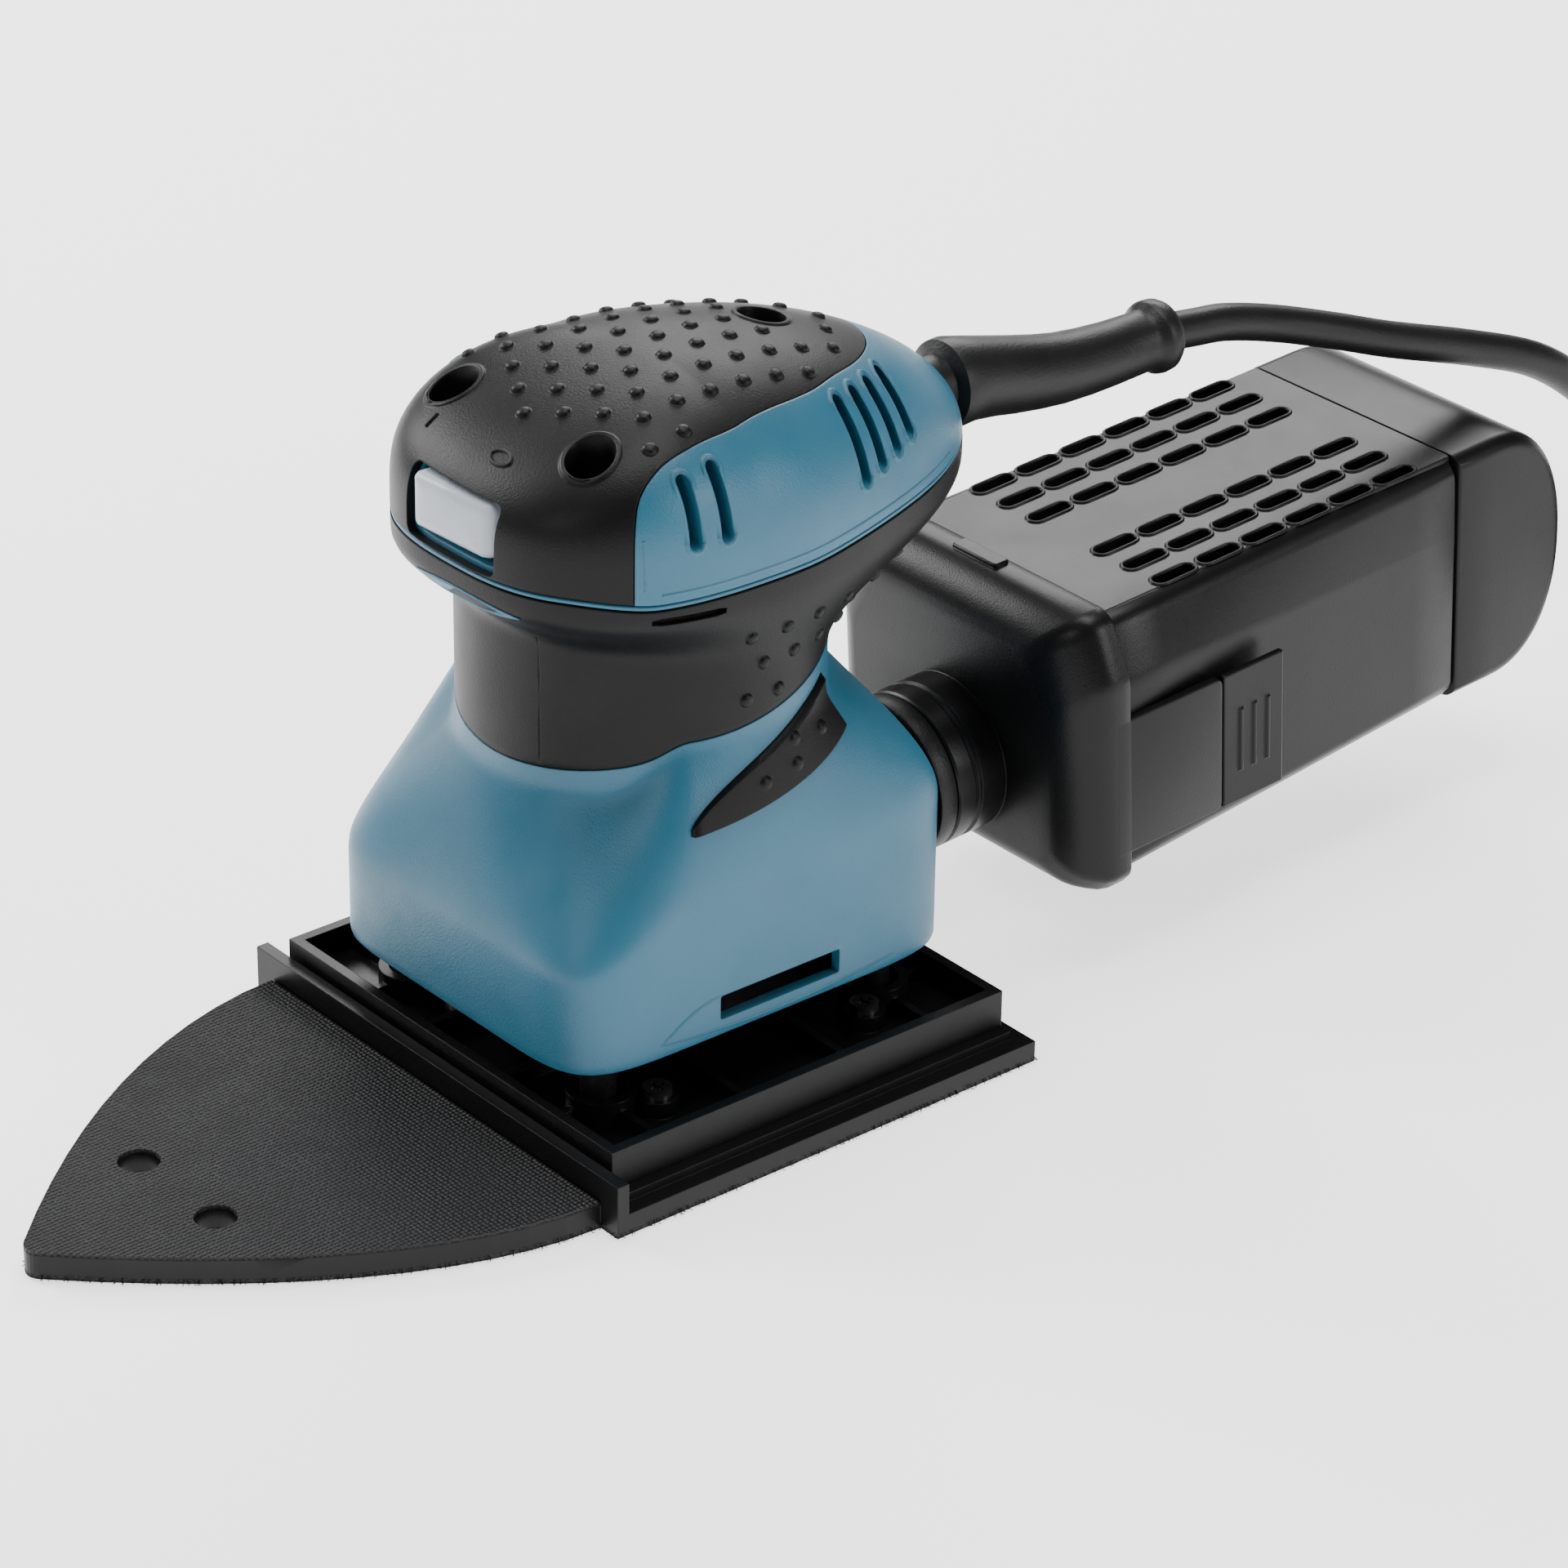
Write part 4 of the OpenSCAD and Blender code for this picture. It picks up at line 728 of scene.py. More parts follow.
def make_sleeve():
    top = lambda a: part_line(a) - 0.75
    rings = [ring(SKIN - 0.05, sleeve_z), ring(0.55, sleeve_z), ring(0.15, lambda a: sleeve_z(a) + 0.15),
             ring(0.0, lambda a: sleeve_z(a) + 0.5)]
    start = lambda a: sleeve_z(a) + 0.5
    rings += [ring(0.0, between(start, top, t)) for t in ease_rows(30)[1:]]
    rings += [ring(0.35, lambda a: top(a) + 0.15), ring(SKIN - 0.05, lambda a: top(a) + 0.15)]
    rings += [ring(SKIN - 0.05, between(top, sleeve_z, t)) for t in (0.1, 0.2, 0.3, 0.4, 0.6, 0.8)]
    v, f = loft(rings, loop=True)
    sleeve = mesh_piece("grip_collar", v, f)
    for side in (-1, 1):
        path = []
        for k in range(9):
            t = k / 8
            a = mix(radians(-36), radians(-16), t)
            z = 107.9 - 0.5 * t
            r = body_r(a, z)
            path.append((r, a, z))
        for sink in (0.1, 1.0):
            line = [(side * (r - sink) * cos(a), (r - sink) * sin(a), z) for r, a, z in path]
            cut(sleeve, join("cutter", [tube(line, [0.5] + [0.78] * 7 + [0.5], 12)]))
    seam = [(11.5, -(sqrt(body_r(-1.23, z) ** 2 - 11.5 ** 2)), z) for z in (66, 74, 82, 90, 98, 104)]
    cut(sleeve, join("cutter", [tube(seam, 0.22, 8)]))
    bumps = []
    for z0, row in ((98.6, 0), (92, 1), (85.4, 0), (78.8, 1)):
        for k in range(16 - row):
            a = radians(-5 + (k + row / 2) * 190 / 15)
            if not sleeve_z(a) + 2.6 < z0 < part_line(a) - 6:
                continue
            r = body_r(a, z0)
            bumps.append(bump_dome((r * cos(a), r * sin(a), z0), surface_normal(body_r, a, z0), 1.4, 0.7))
    return merge(sleeve, join("bumps", bumps))


dress(make_sleeve(), "black_grip", "housing", "grip_sleeve")


def leaf_point(side, u, v, lift):
    a = radians(mix(-26, 34, u))
    low, high = 63.8 + 8 * u * u, 64.3 + 17.5 * u ** 0.62
    z = mix(low, high, v)
    r = body_r(a, z) + lift
    return side * r * cos(a), r * sin(a), z


def make_leaf(side):
    nu, nv = 60, 14
    rim = 0.06

    def grid(base):
        rows = []
        for j in range(nv + 1):
            v = j / nv
            row = []
            for i in range(nu + 1):
                u = i / nu
                edge = min(v, 1 - v, u * 1.2, (1 - u) * 3)
                rise = base if base < 0.5 else 0.1 + (base - 0.1) * sqrt(1 - (1 - unit(edge / rim)) ** 2)
                row.append(leaf_point(side, max(u, 0.004), v, rise))
            rows.append(row)
        return rows

    outer, inner = grid(1.25), grid(0.05)
    n = nu + 1
    verts = [p for rows in (outer, inner) for row in rows for p in row]
    m = n * (nv + 1)
    faces = []
    for j in range(nv):
        for i in range(nu):
            q = (j * n + i, j * n + i + 1, (j + 1) * n + i + 1, (j + 1) * n + i)
            faces += [q, tuple(m + k for k in reversed(q))]
    border = list(range(n)) + [j * n + nu for j in range(1, nv + 1)]
    border += [nv * n + i for i in range(nu - 1, -1, -1)] + [j * n for j in range(nv - 1, 0, -1)]
    for k, p in enumerate(border):
        q = border[(k + 1) % len(border)]
        faces.append((p, q, q + m, p + m))
    leaf = mesh_piece("grip_leaf", verts, faces, 50)
    bumps = []
    for u, v in ((0.4, 0.5), (0.6, 0.4), (0.62, 0.8), (0.82, 0.5)):
        p = Vector(leaf_point(side, u, v, 1.2))
        n1 = Vector(leaf_point(side, u + 0.01, v, 1.2)) - p
        n2 = Vector(leaf_point(side, u, v + 0.02, 1.2)) - p
        normal = n1.cross(n2) * side
        bumps.append(bump_dome(p, normal, 1.3, 0.6))
    return merge(leaf, join("bumps", bumps), sharp=50)


for side, node in ((1, "inlay_left"), (-1, "inlay_right")):
    leaf = make_leaf(side)
    leaf.name = node + "_grip"
    dress(leaf, "black_grip", "housing", node)


# ------ head
def crown_z(y):
    return HEAD_TOP - 7 * ((y - 12) / 39) ** 2 * (1 if y < 12 else 0.35)


def dome_n(a):
    return mix(mix(2.6, 2.1, unit(sin(a))), 6, unit(-sin(a)) ** 1.5)


def dome_point(a, s, f, inset):
    r = s * (head_at(a) - inset)
    y = r * sin(a)
    return r * cos(a), y, PART_Z + (crown_z(y) - PART_Z - inset) * f


def dome_rows(inset, base):
    """Rings of a dome from its lower edge to near its middle."""
    rows = []
    up, over = 16, 22
    for k in range(up + over):
        row = []
        for i in range(COLS):
            a = 2 * pi * i / COLS
            n = dome_n(a)
            turn = 2 ** (-1 / n)
            if k < up:
                y = head_at(a) * sin(a)
                f0 = (base(a) - PART_Z) / (crown_z(y) - PART_Z)
                f = mix(f0, turn, k / up)
                s = (1 - abs(f) ** n) ** (1 / n) if f > 0 else 1.0
            else:
                s = turn * (1 - (k - up) / over)
                f = (1 - s ** n) ** (1 / n)
            row.append(dome_point(a, s, f, inset))
        rows.append(row)
    return rows


def dome_shell(outer, inner, base):
    rows = dome_rows(outer, base)
    under = dome_rows(inner, base)
    verts = [p for r in rows for p in r] + [p for r in under for p in r]
    n, k = COLS, len(rows)
    verts += [(0, 0, crown_z(0) - outer), (0, 0, crown_z(0) - inner)]
    top, low = len(verts) - 2, len(verts) - 1
    faces = []
    for part, flip in ((0, False), (k * n, True)):
        for r in range(k - 1):
            for i in range(n):
                j = (i + 1) % n
                q = (part + r * n + i, part + r * n + j, part + (r + 1) * n + j, part + (r + 1) * n + i)
                faces.append(tuple(reversed(q)) if flip else q)
    for i in range(n):
        j = (i + 1) % n
        faces.append(((k - 1) * n + i, (k - 1) * n + j, top))
        faces.append((k * n + (k - 1) * n + j, k * n + (k - 1) * n + i, low))
        faces.append((j, i, k * n + i, k * n + j))
    return verts, faces


EDGE = [(34, -28.6), (32.9, -27.6), (31.2, -25), (29.9, -19.5), (29.4, -12.6), (28.6, -5), (27.2, 3),
        (25.4, 13.5), (23.6, 20.4), (20.9, 27), (16.6, 36.4), (11.4, 43.4), (5.8, 47.4), (0, 48.6)]


def smooth_edge(step=6):
    """The skin's edge on one side, as a smooth line through its points."""
    pts = [EDGE[0]] + EDGE + [(-EDGE[-2][0], EDGE[-2][1])]
    out = []
    for i in range(1, len(pts) - 2):
        p0, p1, p2, p3 = (Vector(p) for p in pts[i - 1:i + 3])
        for k in range(step):
            t = k / step
            out.append(tuple(0.5 * (2 * p1 + (p2 - p0) * t + (2 * p0 - 5 * p1 + 4 * p2 - p3) * t * t
                                    + (3 * p1 - p0 - 3 * p2 + p3) * t ** 3)))
    out.append(EDGE[-1])
    return out


def cap_outline(grow):
    line = smooth_edge()
    side = []
    for i, p in enumerate(line):
        a = Vector(line[max(i - 1, 0)])
        b = Vector(line[min(i + 1, len(line) - 1)])
        d = (b - a).normalized()
        side.append((p[0] + d[1] * grow, p[1] - d[0] * grow))
    side[-1] = (0, side[-1][1])
    y0 = EDGE[0][1] + grow
    side[0] = (side[0][0], y0)
    whole = [(-60, y0), (-60, -70), (60, -70), (60, y0)] + side
    whole += [(-x, y) for x, y in reversed(side[:-1])]
    return whole


SCREWS = [(-19.9, -27.2, 131), (19.9, -27.2, 131), (0, 28, 139)]
SEAT_Z = 128.0
WELL_R = 5.0
WINDOW = (25.0, 12.4, 114.4)
WINDOW_FROM, WINDOW_TO = -56, -32
# Side slots: place along the head, depth they start at, lower and upper end
VENTS = [(-17, 26.4, 120.4, 133.4), (-10.4, 26.4, 120.3, 134.2), (24.6, 22, 119.8, 134.6),
         (30, 19.6, 120.8, 134.2), (35.4, 17.2, 121.5, 133.7), (40.8, 14.2, 122.3, 133.2)]
VENT_DEPTH = 30


def stadium(w, l, seg=8):
    """A slot outline with round ends, centred, long in its second axis."""
    r = w / 2
    out = [(r * cos(pi * k / seg), l / 2 - r + r * sin(pi * k / seg)) for k in range(seg + 1)]
    out += [(-r * cos(pi * k / seg), -l / 2 + r - r * sin(pi * k / seg)) for k in range(seg + 1)]
    return out


def wells(grow=0.0):
    return join("cutter", [spin([(WELL_R + grow, SEAT_Z), (WELL_R + grow, 170)], 40,
                                lambda x, y, z, p=p: (p[0] + x, p[1] + y, z)) for p in SCREWS])


def window_cutter(left, right, below, above, radius):
    """A cutter for the switch's window, larger than it by the four margins."""
    w, h, z = WINDOW
    x0, x1, z0, z1 = -w / 2 - left, w / 2 + right, z - below, z + h + above
    outline = rounded([(x0, z0), (x1, z0), (x1, z1), (x0, z1)], radius, 5)
    return join("cutter", [bar_along_y(outline, WINDOW_FROM, WINDOW_TO)])


def side_base(a):
    return part_line(a) + 0.75


def front_base(a):
    return part_line(a) + 0.8


def make_cover():
    v, f = dome_shell(0, SKIN + WALL, side_base)
    cover = mesh_piece("head_cover", v, f)
    v, f = dome_shell(-2, SKIN + 0.02, lambda a: side_base(a) - 2)
    pocket = mesh_piece("pocket", v, f)
    cut(pocket, join("cutter", [prism(cap_outline(0.12), 90, 180)]), "INTERSECT")
    cut(cover, pocket)
    posts = join("posts", [spin([(WELL_R + 1.4, PART_Z + 2), (WELL_R + 1.4, SEAT_Z)], 32,
                                lambda x, y, z, p=p: (p[0] + x, p[1] + y, z)) for p in SCREWS])
    cut(cover, wells())
    cut(cover, window_cutter(0, 0, 0, 0, 1.6))
    slots = []
    for side in (-1, 1):
        for y, x, low, high in VENTS:
            mid = (low + high) / 2
            outline = [(p[0] + y, p[1] + mid) for p in stadium(2.6, high - low, 6)]
            slots.append(bar_along_x(outline, *sorted((side * x, side * (x + VENT_DEPTH)))))
    cut(cover, join("cutter", slots))
    guard = spin([(6.6, 50), (6.6, 110)], 40, lambda x, z, y: (x, y, GUARD_Z + z))
    cut(cover, join("cutter", [guard]))
    return merge(cover, posts)


def head_x(y, z):
    """Half-width of the head's surface at a place along it and a height."""
    low, high = 0.0, 45.0
    for _ in range(26):
        x = (low + high) / 2
        a = math.atan2(y, x)
        s = sqrt(x * x + y * y) / head_at(a)
        inside = s < 1 and (PART_Z + (crown_z(y) - PART_Z) * (1 - s ** dome_n(a)) ** (1 / dome_n(a))) > z
        low, high = (x, high) if inside else (low, x)
    return low


def line_on_side(points, side, r, loop=False):
    """A thin raised line on the head's flank, sunk a little into it."""
    path = [(side * (head_x(y, z) - 0.1), y, z) for y, z in points]
    return tube(path, r, 8, loop=loop)


def panel_lines():
    """The raised rims of the vents and the thin border lines of the blue sides."""
    parts = []
    for side in (-1, 1):
        for y, x, low, high in VENTS:
            mid = (low + high) / 2
            outline = [(p[0] + y, p[1] + mid) for p in stadium(3.6, high - low + 1, 6)]
            parts.append(line_on_side(outline, side, 0.42, loop=True))
        run = [mix(-23.5, 54, k / 50) for k in range(51)]
        border = [(y, part_line(math.atan2(y, 36)) + 2.4) for y in run]
        parts.append(line_on_side(border, side, 0.26))
        edge = [(-26.4, 114.2 + 9.6 * k / 10) for k in range(11)]
        parts.append(line_on_side(edge, side, 0.26))
    return join("lines", parts)


cover = merge(make_cover(), panel_lines())
dress(cover, "blue_shell", "housing", "top_cover")


def on_dome(x, y, inset=0.0):
    a = math.atan2(y, x)
    s = sqrt(x * x + y * y) / (head_at(a) - inset)
    n = dome_n(a)
    return PART_Z + (crown_z(y) - PART_Z - inset) * (1 - min(s, 1) ** n) ** (1 / n)


def dome_normal(x, y):
    d = 0.3
    slope_x, slope_y = on_dome(x - d, y) - on_dome(x + d, y), on_dome(x, y - d) - on_dome(x, y + d)
    return Vector((slope_x, slope_y, 2 * d)).normalized()


def inside(outline, x, y):
    hit = False
    for i, (x1, y1) in enumerate(outline):
        x0, y0 = outline[i - 1]
        if (y1 > y) != (y0 > y) and x < (x0 - x1) * (y - y1) / (y0 - y1) + x1:
            hit = not hit
    return hit


def make_grip():
    v, f = dome_shell(0, SKIN - 0.02, front_base)
    skin = mesh_piece("head_grip", v, f)
    cut(skin, join("cutter", [prism(cap_outline(-0.12), 90, 180)]), "INTERSECT")
    cut(skin, wells(0.15))
    cut(skin, window_cutter(0.8, 0.1, 1.1, 0.1, 1.8))
    room = cap_outline(-2.6)
    bumps = []
    for i in range(-8, 9):
        for j in range(-14, 15):
            x, y = 6.6 * i, -26.7 + 7.6 * j + (3.8 if i % 2 else 0)
            if not -33 < y < 60 or abs(x) > 36 or not inside(room, x, y):
                continue
            a = math.atan2(y, x)
            if sqrt(x * x + y * y) / head_at(a) > 0.9:
                continue
            if any(sqrt((x - p[0]) ** 2 + (y - p[1]) ** 2) < WELL_R + 2.6 for p in SCREWS):
                continue
            if y < -30 and -19 < x < 8:
                continue
            bumps.append(bump_dome((x, y, on_dome(x, y)), dome_normal(x, y), 1.45, 0.8))
    return merge(skin, join("bumps", bumps))


def switch_marks():
    """A raised ring and bar over the switch: the usual off and on signs."""
    parts = []
    ox, oy = 5.0, -35.6
    path = []
    for k in range(28):
        a = 2 * pi * k / 28
        x, y = ox + 2.6 * cos(a), oy + 1.25 * sin(a)
        path.append((x, y, on_dome(x, y) + 0.05))
    parts.append(tube(path, 0.32, 8, loop=True))
    path = [(-16.5 + 0.2 * t, -36.2 + 2.6 * t, 0) for t in (0, 0.25, 0.5, 0.75, 1)]
    path = [(x, y, on_dome(x, y) + 0.05) for x, y, _ in path]
    parts.append(tube(path, 0.36, 8))
    return join("marks", parts)


def well_linings():
    """Black walls, floors and raised rims of the screw wells."""
    parts = []
    sides = 48
    rim = [(5.7, -0.4), (5.5, 0.25), (5.1, 0.42), (4.6, 0.25), (4.4, -0.4)]
    floor = [(4.4, SEAT_Z + 0.1), (2.95, SEAT_Z + 0.1), (2.95, SEAT_Z - 0.6), (4.95, SEAT_Z - 0.6)]
    for px, py, _ in SCREWS:
        def circle(r, z=None, lift=0.0, px=px, py=py):
            row = []
            for k in range(sides):
                x, y = px + r * cos(2 * pi * k / sides), py + r * sin(2 * pi * k / sides)
                row.append((x, y, on_dome(x, y) + lift if z is None else z))
            return row
        rows = [circle(r, lift=lift) for r, lift in rim]
        rows += [circle(r, z=z) for r, z in floor]
        rows.append(circle(4.95, z=on_dome(px, py) - 2.2))
        parts.append(loft(rows, loop=True))
    return join("linings", parts)


grip = merge(make_grip(), switch_marks(), well_linings())
dress(grip, "black_grip", "housing", "cover_grip")


# ------ switch boot
def make_boot():
    """The switch's cover, with its face pulled in towards its middle and sloped at one side."""
    outline = rounded([(-11.0, 115.3), (10.9, 115.3), (10.9, 125.9), (-11.0, 125.9)], [1.0, 3.0, 2.0, 1.0], 6)
    mid_z, half_w, half_h = 120.6, 11.3, 5.6
    rings = []
    for depth, shrink in ((-38.9, 0), (-42.2, 0), (-43.0, 0.35), (-43.5, 1.1), (-43.7, 2.4), (-43.75, 5.0)):
        row = []
        for x, z in outline:
            px = x * (1 - shrink / half_w)
            slope = 1.6 * unit((px - 3) / 8.3)
            row.append((px, depth + slope, mid_z + (z - mid_z) * (1 - shrink / half_h)))
        rings.append(row)
    return join("switch_cover", [loft(rings)], 40)


dress(make_boot(), "clear_boot", "rocker", "switch_boot")


# ------ cord guard
# The guard's run: share of its length, drop and radius
GUARD_RUN = [(0, 0, 6.2), (0.085, 0, 6.2), (0.1, 0, 8.6), (0.125, -0.1, 8.9), (0.2, -0.6, 8.2),
             (0.29, -1.7, 7.8), (0.37, -2.8, 7.6), (0.47, -4.0, 7.3), (0.57, -4.9, 7), (0.67, -5.3, 6.7),
             (0.77, -5.4, 6.4), (0.9, -5.2, 6.1), (0.925, -5.1, 6.4), (0.94, -5.1, 7.2),
             (0.955, -5, 7.45), (0.985, -4.9, 7.3), (1, -4.9, 6.7)]
GUARD_Y, GUARD_L = 66, 64


def make_guard():
    path = [(0, GUARD_Y + GUARD_L * s, GUARD_Z + dz) for s, dz, _ in GUARD_RUN]
    return join("cord_sleeve", [tube(path, [r for _, _, r in GUARD_RUN], 40)], 40)


dress(make_guard(), "black_rubber", "housing", "cord_guard")

# ------ dust box
# All of the box is drawn in the spout's axes
LID_Z, BOX_LOW, SEAM_Y, BOX_END = 36.0, 19.4, 25.5, 121.5
LID_SLOTS = [(s * x, SEAM_Y + 17 + 12 * k + 4.7) for s in (-1, 1) for x in (9.5, 18, 26.2) for k in range(6)]
SLOT_W, SLOT_L, RIM_OUT = 3.2, 10.2, 0.7


def spout_piece(name, part, sharp=SHARP):
    return mesh_piece(name, *on_spout(part), sharp)


def make_lid():
    plate = rounded([(-28, SEAM_Y), (28, SEAM_Y), (28, BOX_END), (-28, BOX_END)], 0.6, 3)
    rows = [[(x * k, mix(73.5, y, q), z) for x, y in plate]
            for z, k, q in ((LID_Z - 2.4, 1, 1), (LID_Z - 0.3, 1, 1), (LID_Z, 0.994, 0.996))]
    lid = spout_piece("box_lid", loft(rows))
    holes, rims = [], []
    for x, y in LID_SLOTS:
        outline = [(x + px, y + py) for px, py in stadium(SLOT_W, SLOT_L)]
        holes.append(prism(outline, LID_Z - 8, LID_Z + 8))
        path = [(x + px, y + py, LID_Z + 0.02) for px, py in stadium(SLOT_W + RIM_OUT, SLOT_L + RIM_OUT, 6)]
        rims.append(on_spout(tube(path, 0.38, 8, loop=True)))
    cut_at_spout(lid, holes)
    return merge(lid, join("rims", rims))


dress(make_lid(), "black_plastic", "box_rear", "dust_lid")


def box_outline(w, lid, top, low, bevel, inset=0.0):
    w, lid, top, low = w - inset, lid - inset, top - inset, low - inset
    pts = [(-w + 3, -low), (w - 3, -low), (w, -low + 3.5), (w, top - bevel), (lid, top), (-lid, top),
           (-w, top - bevel), (-w, -low + 3.5)]
    return rounded(pts, [3, 3, 3, 9, 5, 5, 9, 3], 6)


def box_ring(y, w, lid, bevel, inset, top=LID_Z, low=BOX_LOW):
    return [(x, y, z) for x, z in box_outline(w, lid, top, low, bevel, inset)]


def make_box_body():
    front, rear = (36.2, 30.5, 12.5), (30.2, 29.9, 17.0)

    def at(y, inset):
        t = (y - SEAM_Y) / (BOX_END - SEAM_Y)
        w, lid, bevel = (mix(a, b, t) for a, b in zip(front, rear))
        return box_ring(y, w, lid, bevel, inset)

    rows = [at(SEAM_Y, 2), at(SEAM_Y, 0.9), at(SEAM_Y + 0.3, 0.3), at(SEAM_Y + 1, 0)]
    rows += [at(mix(SEAM_Y + 1, BOX_END - 0.8, k / 8), 0) for k in range(1, 9)]
    rows += [at(BOX_END - 0.2, 0.3), at(BOX_END, 0.9), at(BOX_END, 2)]
    rows += [at(mix(BOX_END, SEAM_Y, k / 8), 2) for k in range(1, 8)]
    body = spout_piece("box_body", loft(rows, loop=True))
    x, y0, y1 = 28.05, SEAM_Y - 2, BOX_END + 2
    return cut_at_spout(body, [prism([(-x, y0), (x, y0), (x, y1), (-x, y1)], 28, 50)])


dress(make_box_body(), "black_plastic", "box_rear", "dust_body")


def make_box_front():
    """The fixed front shell with its two side arms and the collar on the spout."""
    end = SEAM_Y - 0.3

    def at(y, inset):
        t = ease((y - 9) / 12)
        draw, drop = 7 * (1 - t), 6.4 * (1 - t)
        e = 3.4 * (1 - sqrt(1 - (1 - unit((y - 12) / 3.4)) ** 2))
        return box_ring(y, 38 - draw, 32.5 - 1.2 * draw, 13, inset + e, LID_Z + 2.6 - drop, 20.6 - drop / 2)

    rows = [at(y, 0) for y in (12, 12.15, 12.6, 13.3, 14.2, 15.4, 17, 19, 21, 23, end - 0.5)]
    rows += [at(end - 0.12, 0.2), at(end, 0.7)]
    shell = spout_piece("box_front", loft(rows))
    inner = [at(y, 2) for y in (15.4, 17, 19, 21, 23, end, end + 3)]
    cut_at_spout(shell, [loft(inner)])
    profile = [(14.2, 0.4), (15.9, 0), (16.3, 0.5), (16.3, 4.2), (15.8, 4.6), (15.8, 5.6),
               (16.3, 6), (16.3, 13)]
    collar = join("collar", [spin(profile, 72, lambda x, z, y: at_spout(x, y, z))])
    for part in (collar, shell):
        cut(part, join("cutter", [spout_bar(14.15, -3, 24, 72)]))
    arms = []
    outline = rounded([(21.5, -12.5), (49.3, -12.5), (49.3, 17), (21.5, 17)], [0.4, 1.6, 1.6, 0.4], 5)
    my, mz = 35.4, 2.25
    for side in (-1, 1):
        rows = []
        for x, k in ((36.2, 1.0), (37.6, 1.0), (37.85, 0.994), (37.97, 0.98)):
            rows.append([(side * x, my + (y - my) * k, mz + (z - mz) * k) for y, z in outline])
        arms.append(on_spout(loft(rows)))
    lug = rounded([(-8.5, 20.6), (4.5, 20.6), (4.5, 24.2), (-8.5, 24.2)], 0.7, 4)
    rows = [[(x, y, 36.5) for x, y in lug], [(x, y, 39.1) for x, y in lug],
            [(-2 + (x + 2) * 0.95, 22.4 + (y - 22.4) * 0.86, 39.4) for x, y in lug]]
    arms.append(on_spout(loft(rows)))
    return merge(shell, collar, join("arms", arms))


dress(make_box_front(), "black_plastic", "box_front", "dust_front")


def make_end_cap():
    """The D-shaped rear of the box, rounded along both of its sides."""
    y0, z0, z1 = BOX_END + 0.35, -BOX_LOW, LID_Z
    mid, half = (z1 + z0) / 2, (z1 - z0) / 2

    def profile(inset):
        pts = [(y0 + inset * 0.3, z0 + inset), (y0 + inset * 0.3, z1 - inset)]
        for k in range(33):
            a = pi / 2 - pi * k / 32
            y = y0 + 11 + (20.5 - inset) * abs(cos(a)) ** 0.86
            pts.append((y, mid + (half - inset) * signed_power(sin(a), 0.9)))
        return pts

    rings = []
    r = 3.2
    w = 30.2
    steps = [(-w + r * (1 - cos(t)), r * (1 - sin(t))) for t in (pi / 2 * k / 6 for k in range(7))]
    for x, inset in steps:
        rings.append([(x, y, z) for y, z in profile(inset)])
    for x, inset in reversed(steps):
        rings.append([(-x, y, z) for y, z in profile(inset)])
    return spout_piece("box_end_cap", loft(rings), 40)


dress(make_end_cap(), "black_plastic", "box_rear", "dust_end_cap")


# ------ hook pile along the pad's edges
PAD_Y = 0.75
RECT_F = -50.4


def tip_side(t):
    reach = 89.2 + 3.2 * (sqrt(2) - 1)
    return 51 * (1 - t ** 1.8), RECT_F + PAD_Y - reach * t


def pad_border():
    """Points round the lower edge of the pad, about evenly spaced."""
    line = [(56, 50.4 + PAD_Y), (-56, 50.4 + PAD_Y), (-56, RECT_F + PAD_Y)]
    last = 1 - 2.26 / 90.5
    line += [(-x, y) for x, y in (tip_side(last * k / 40) for k in range(41))]
    line += [tip_side(last * (40 - k) / 40) for k in range(41)] + [(56, RECT_F + PAD_Y)]
    return line


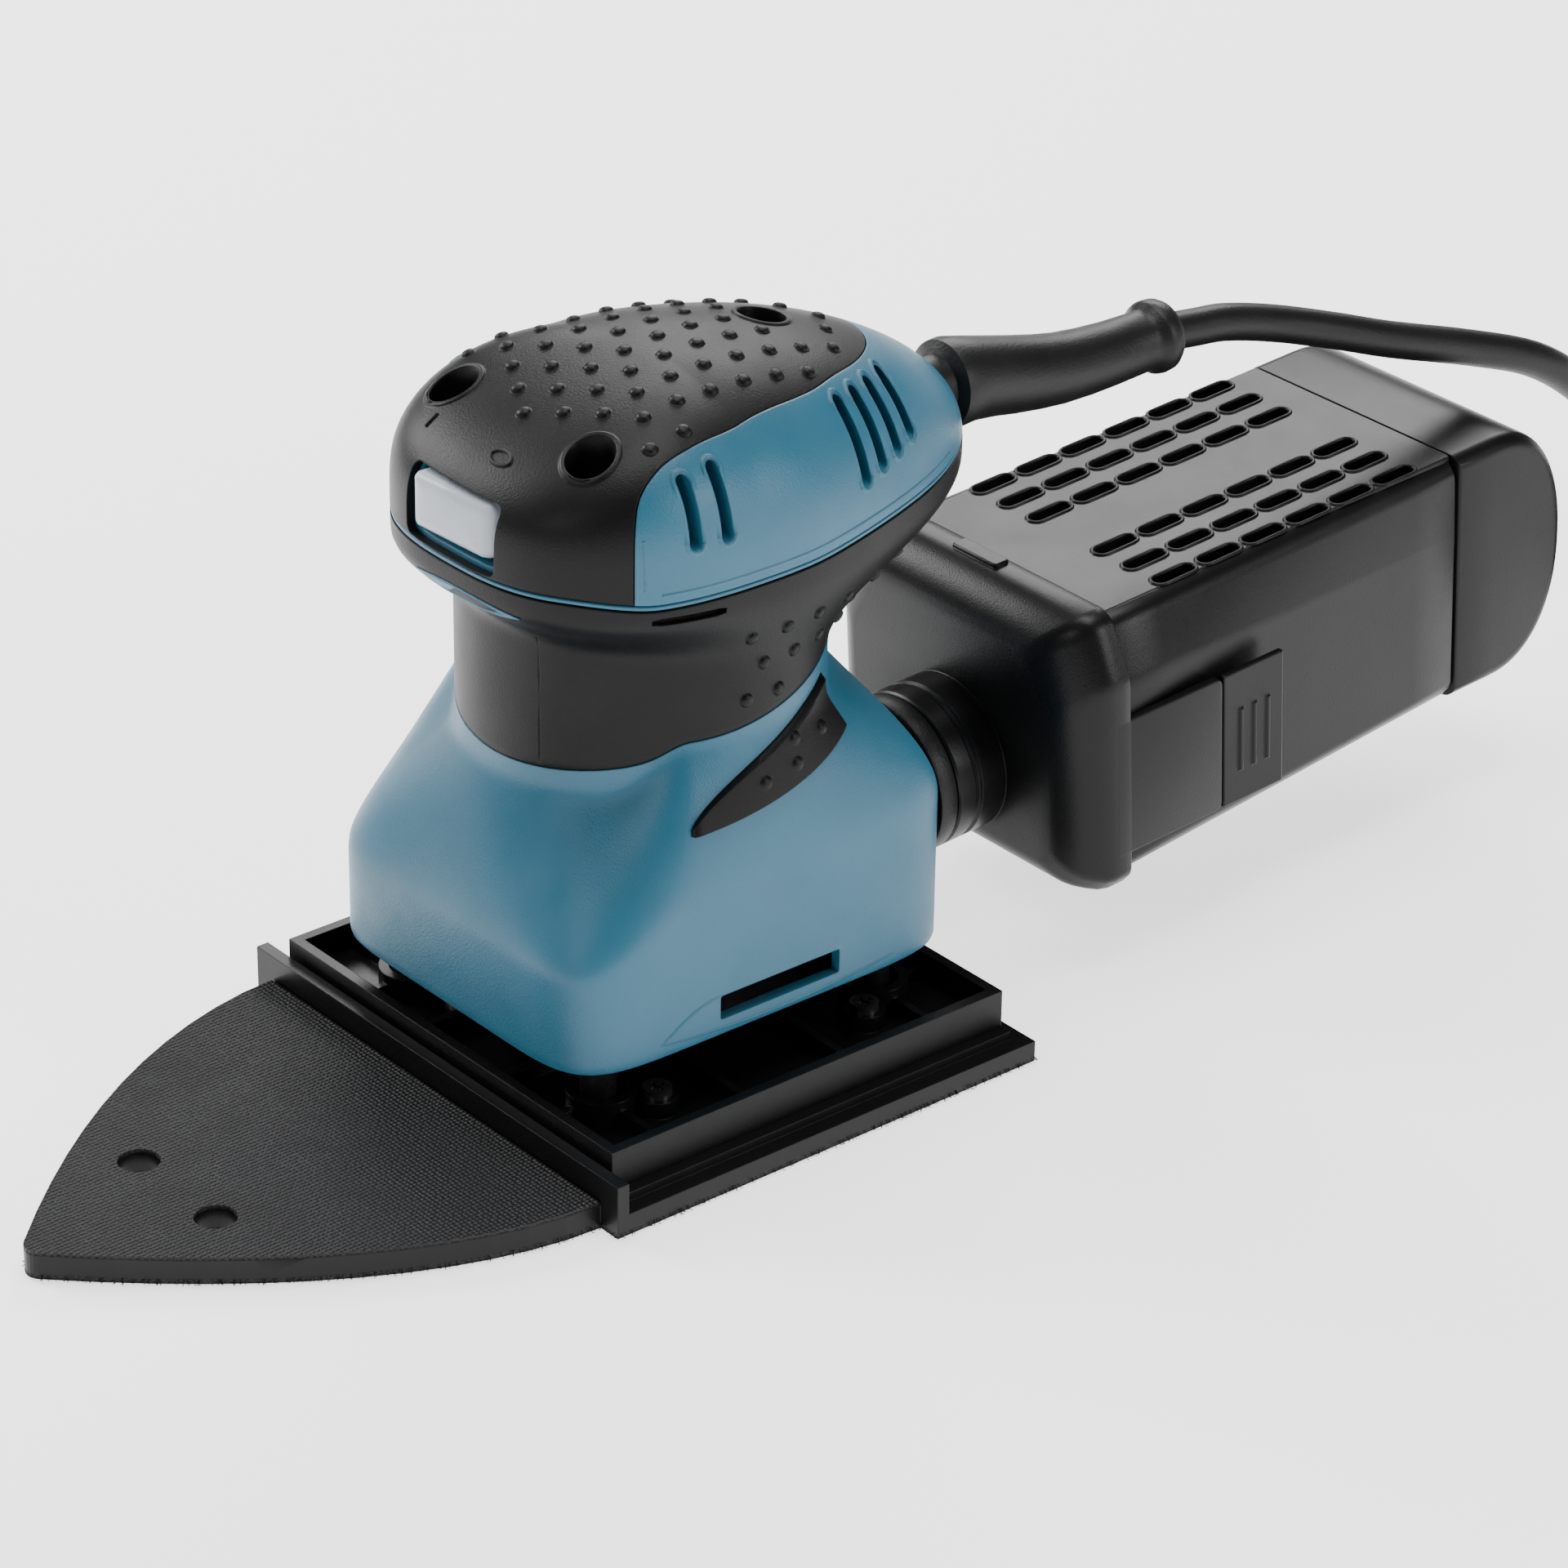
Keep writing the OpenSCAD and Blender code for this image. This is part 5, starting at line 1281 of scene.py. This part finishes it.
def make_fringe():
    rng = random.Random(7)
    line = pad_border()
    parts = []
    for i, a in enumerate(line):
        b = line[(i + 1) % len(line)]
        a, b = Vector((*a, 0)), Vector((*b, 0))
        d = b - a
        if d.length < 0.05:
            continue
        out = Vector((d.y, -d.x, 0)).normalized()
        if out.dot((a + b) / 2 - Vector((0, -20, 0))) < 0:
            out = -out
        along = d.normalized()
        for _ in range(max(1, int(d.length / 0.5))):
            base = a + d * rng.random() - out * rng.uniform(0.0, 0.5)
            lean = rng.uniform(-0.5, 0.5)
            height = rng.uniform(0.75, 0.98)
            hook = out * rng.uniform(0.2, 0.85) + along * lean
            path = [base + Vector((0, 0, 0.95)) - out * 0.1]
            for reach, drop in ((0.6, 0.5), (1, 0.93), (1.45, 0.72)):
                path.append(base + hook * reach + Vector((0, 0, 1 - height * drop)))
            parts.append(tube([tuple(p) for p in path], [0.09, 0.085, 0.08, 0.06], 4))
    return join("hook_fringe", parts, 80)


dress(make_fringe(), "hook_fabric", "base")


# ------ stage and light
def make_stage():
    corners = [(-6, -6), (6, -6), (6, 6), (-6, 6)]
    floor = mesh_piece("floor", [(x, y, -0.0004) for x, y in corners], [(0, 1, 2, 3)], scale=1.0)
    mat = bpy.data.materials.new("floor")
    mat.use_nodes = True
    set_inputs(mat.node_tree.nodes["Principled BSDF"], Base_Color=(0.86, 0.86, 0.86, 1.0), Roughness=0.95,
               Specular_IOR_Level=0.1, Emission_Color=(1.0, 1.0, 1.0, 1.0), Emission_Strength=1.5)
    floor.data.materials.append(mat)
    world = bpy.data.worlds.new("studio")
    world.use_nodes = True
    set_inputs(world.node_tree.nodes["Background"], Color=(1.0, 1.0, 1.0, 1.0), Strength=0.1)
    bpy.context.scene.world = world


def area(name, place, target, size, power):
    data = bpy.data.lights.new(name, "AREA")
    data.shape = "RECTANGLE"
    data.size, data.size_y = size
    data.energy = power
    obj = link(bpy.data.objects.new(name, data))
    obj.location = place
    obj.rotation_euler = (Vector(target) - Vector(place)).to_track_quat("-Z", "Y").to_euler()


make_stage()
MIDDLE = (0.0, 0.02, 0.07)
area("key", (-1.15, -0.4, 0.75), MIDDLE, (0.5, 0.6), 19)
area("front", (0.25, -1.25, 0.9), MIDDLE, (0.3, 0.3), 3.5)
area("top", (-0.05, 0.15, 1.4), MIDDLE, (0.9, 0.7), 17)
area("back", (-0.95, 1.0, 0.95), MIDDLE, (1.1, 0.6), 20)
area("side", (1.15, 0.6, 0.6), MIDDLE, (0.35, 0.6), 8)
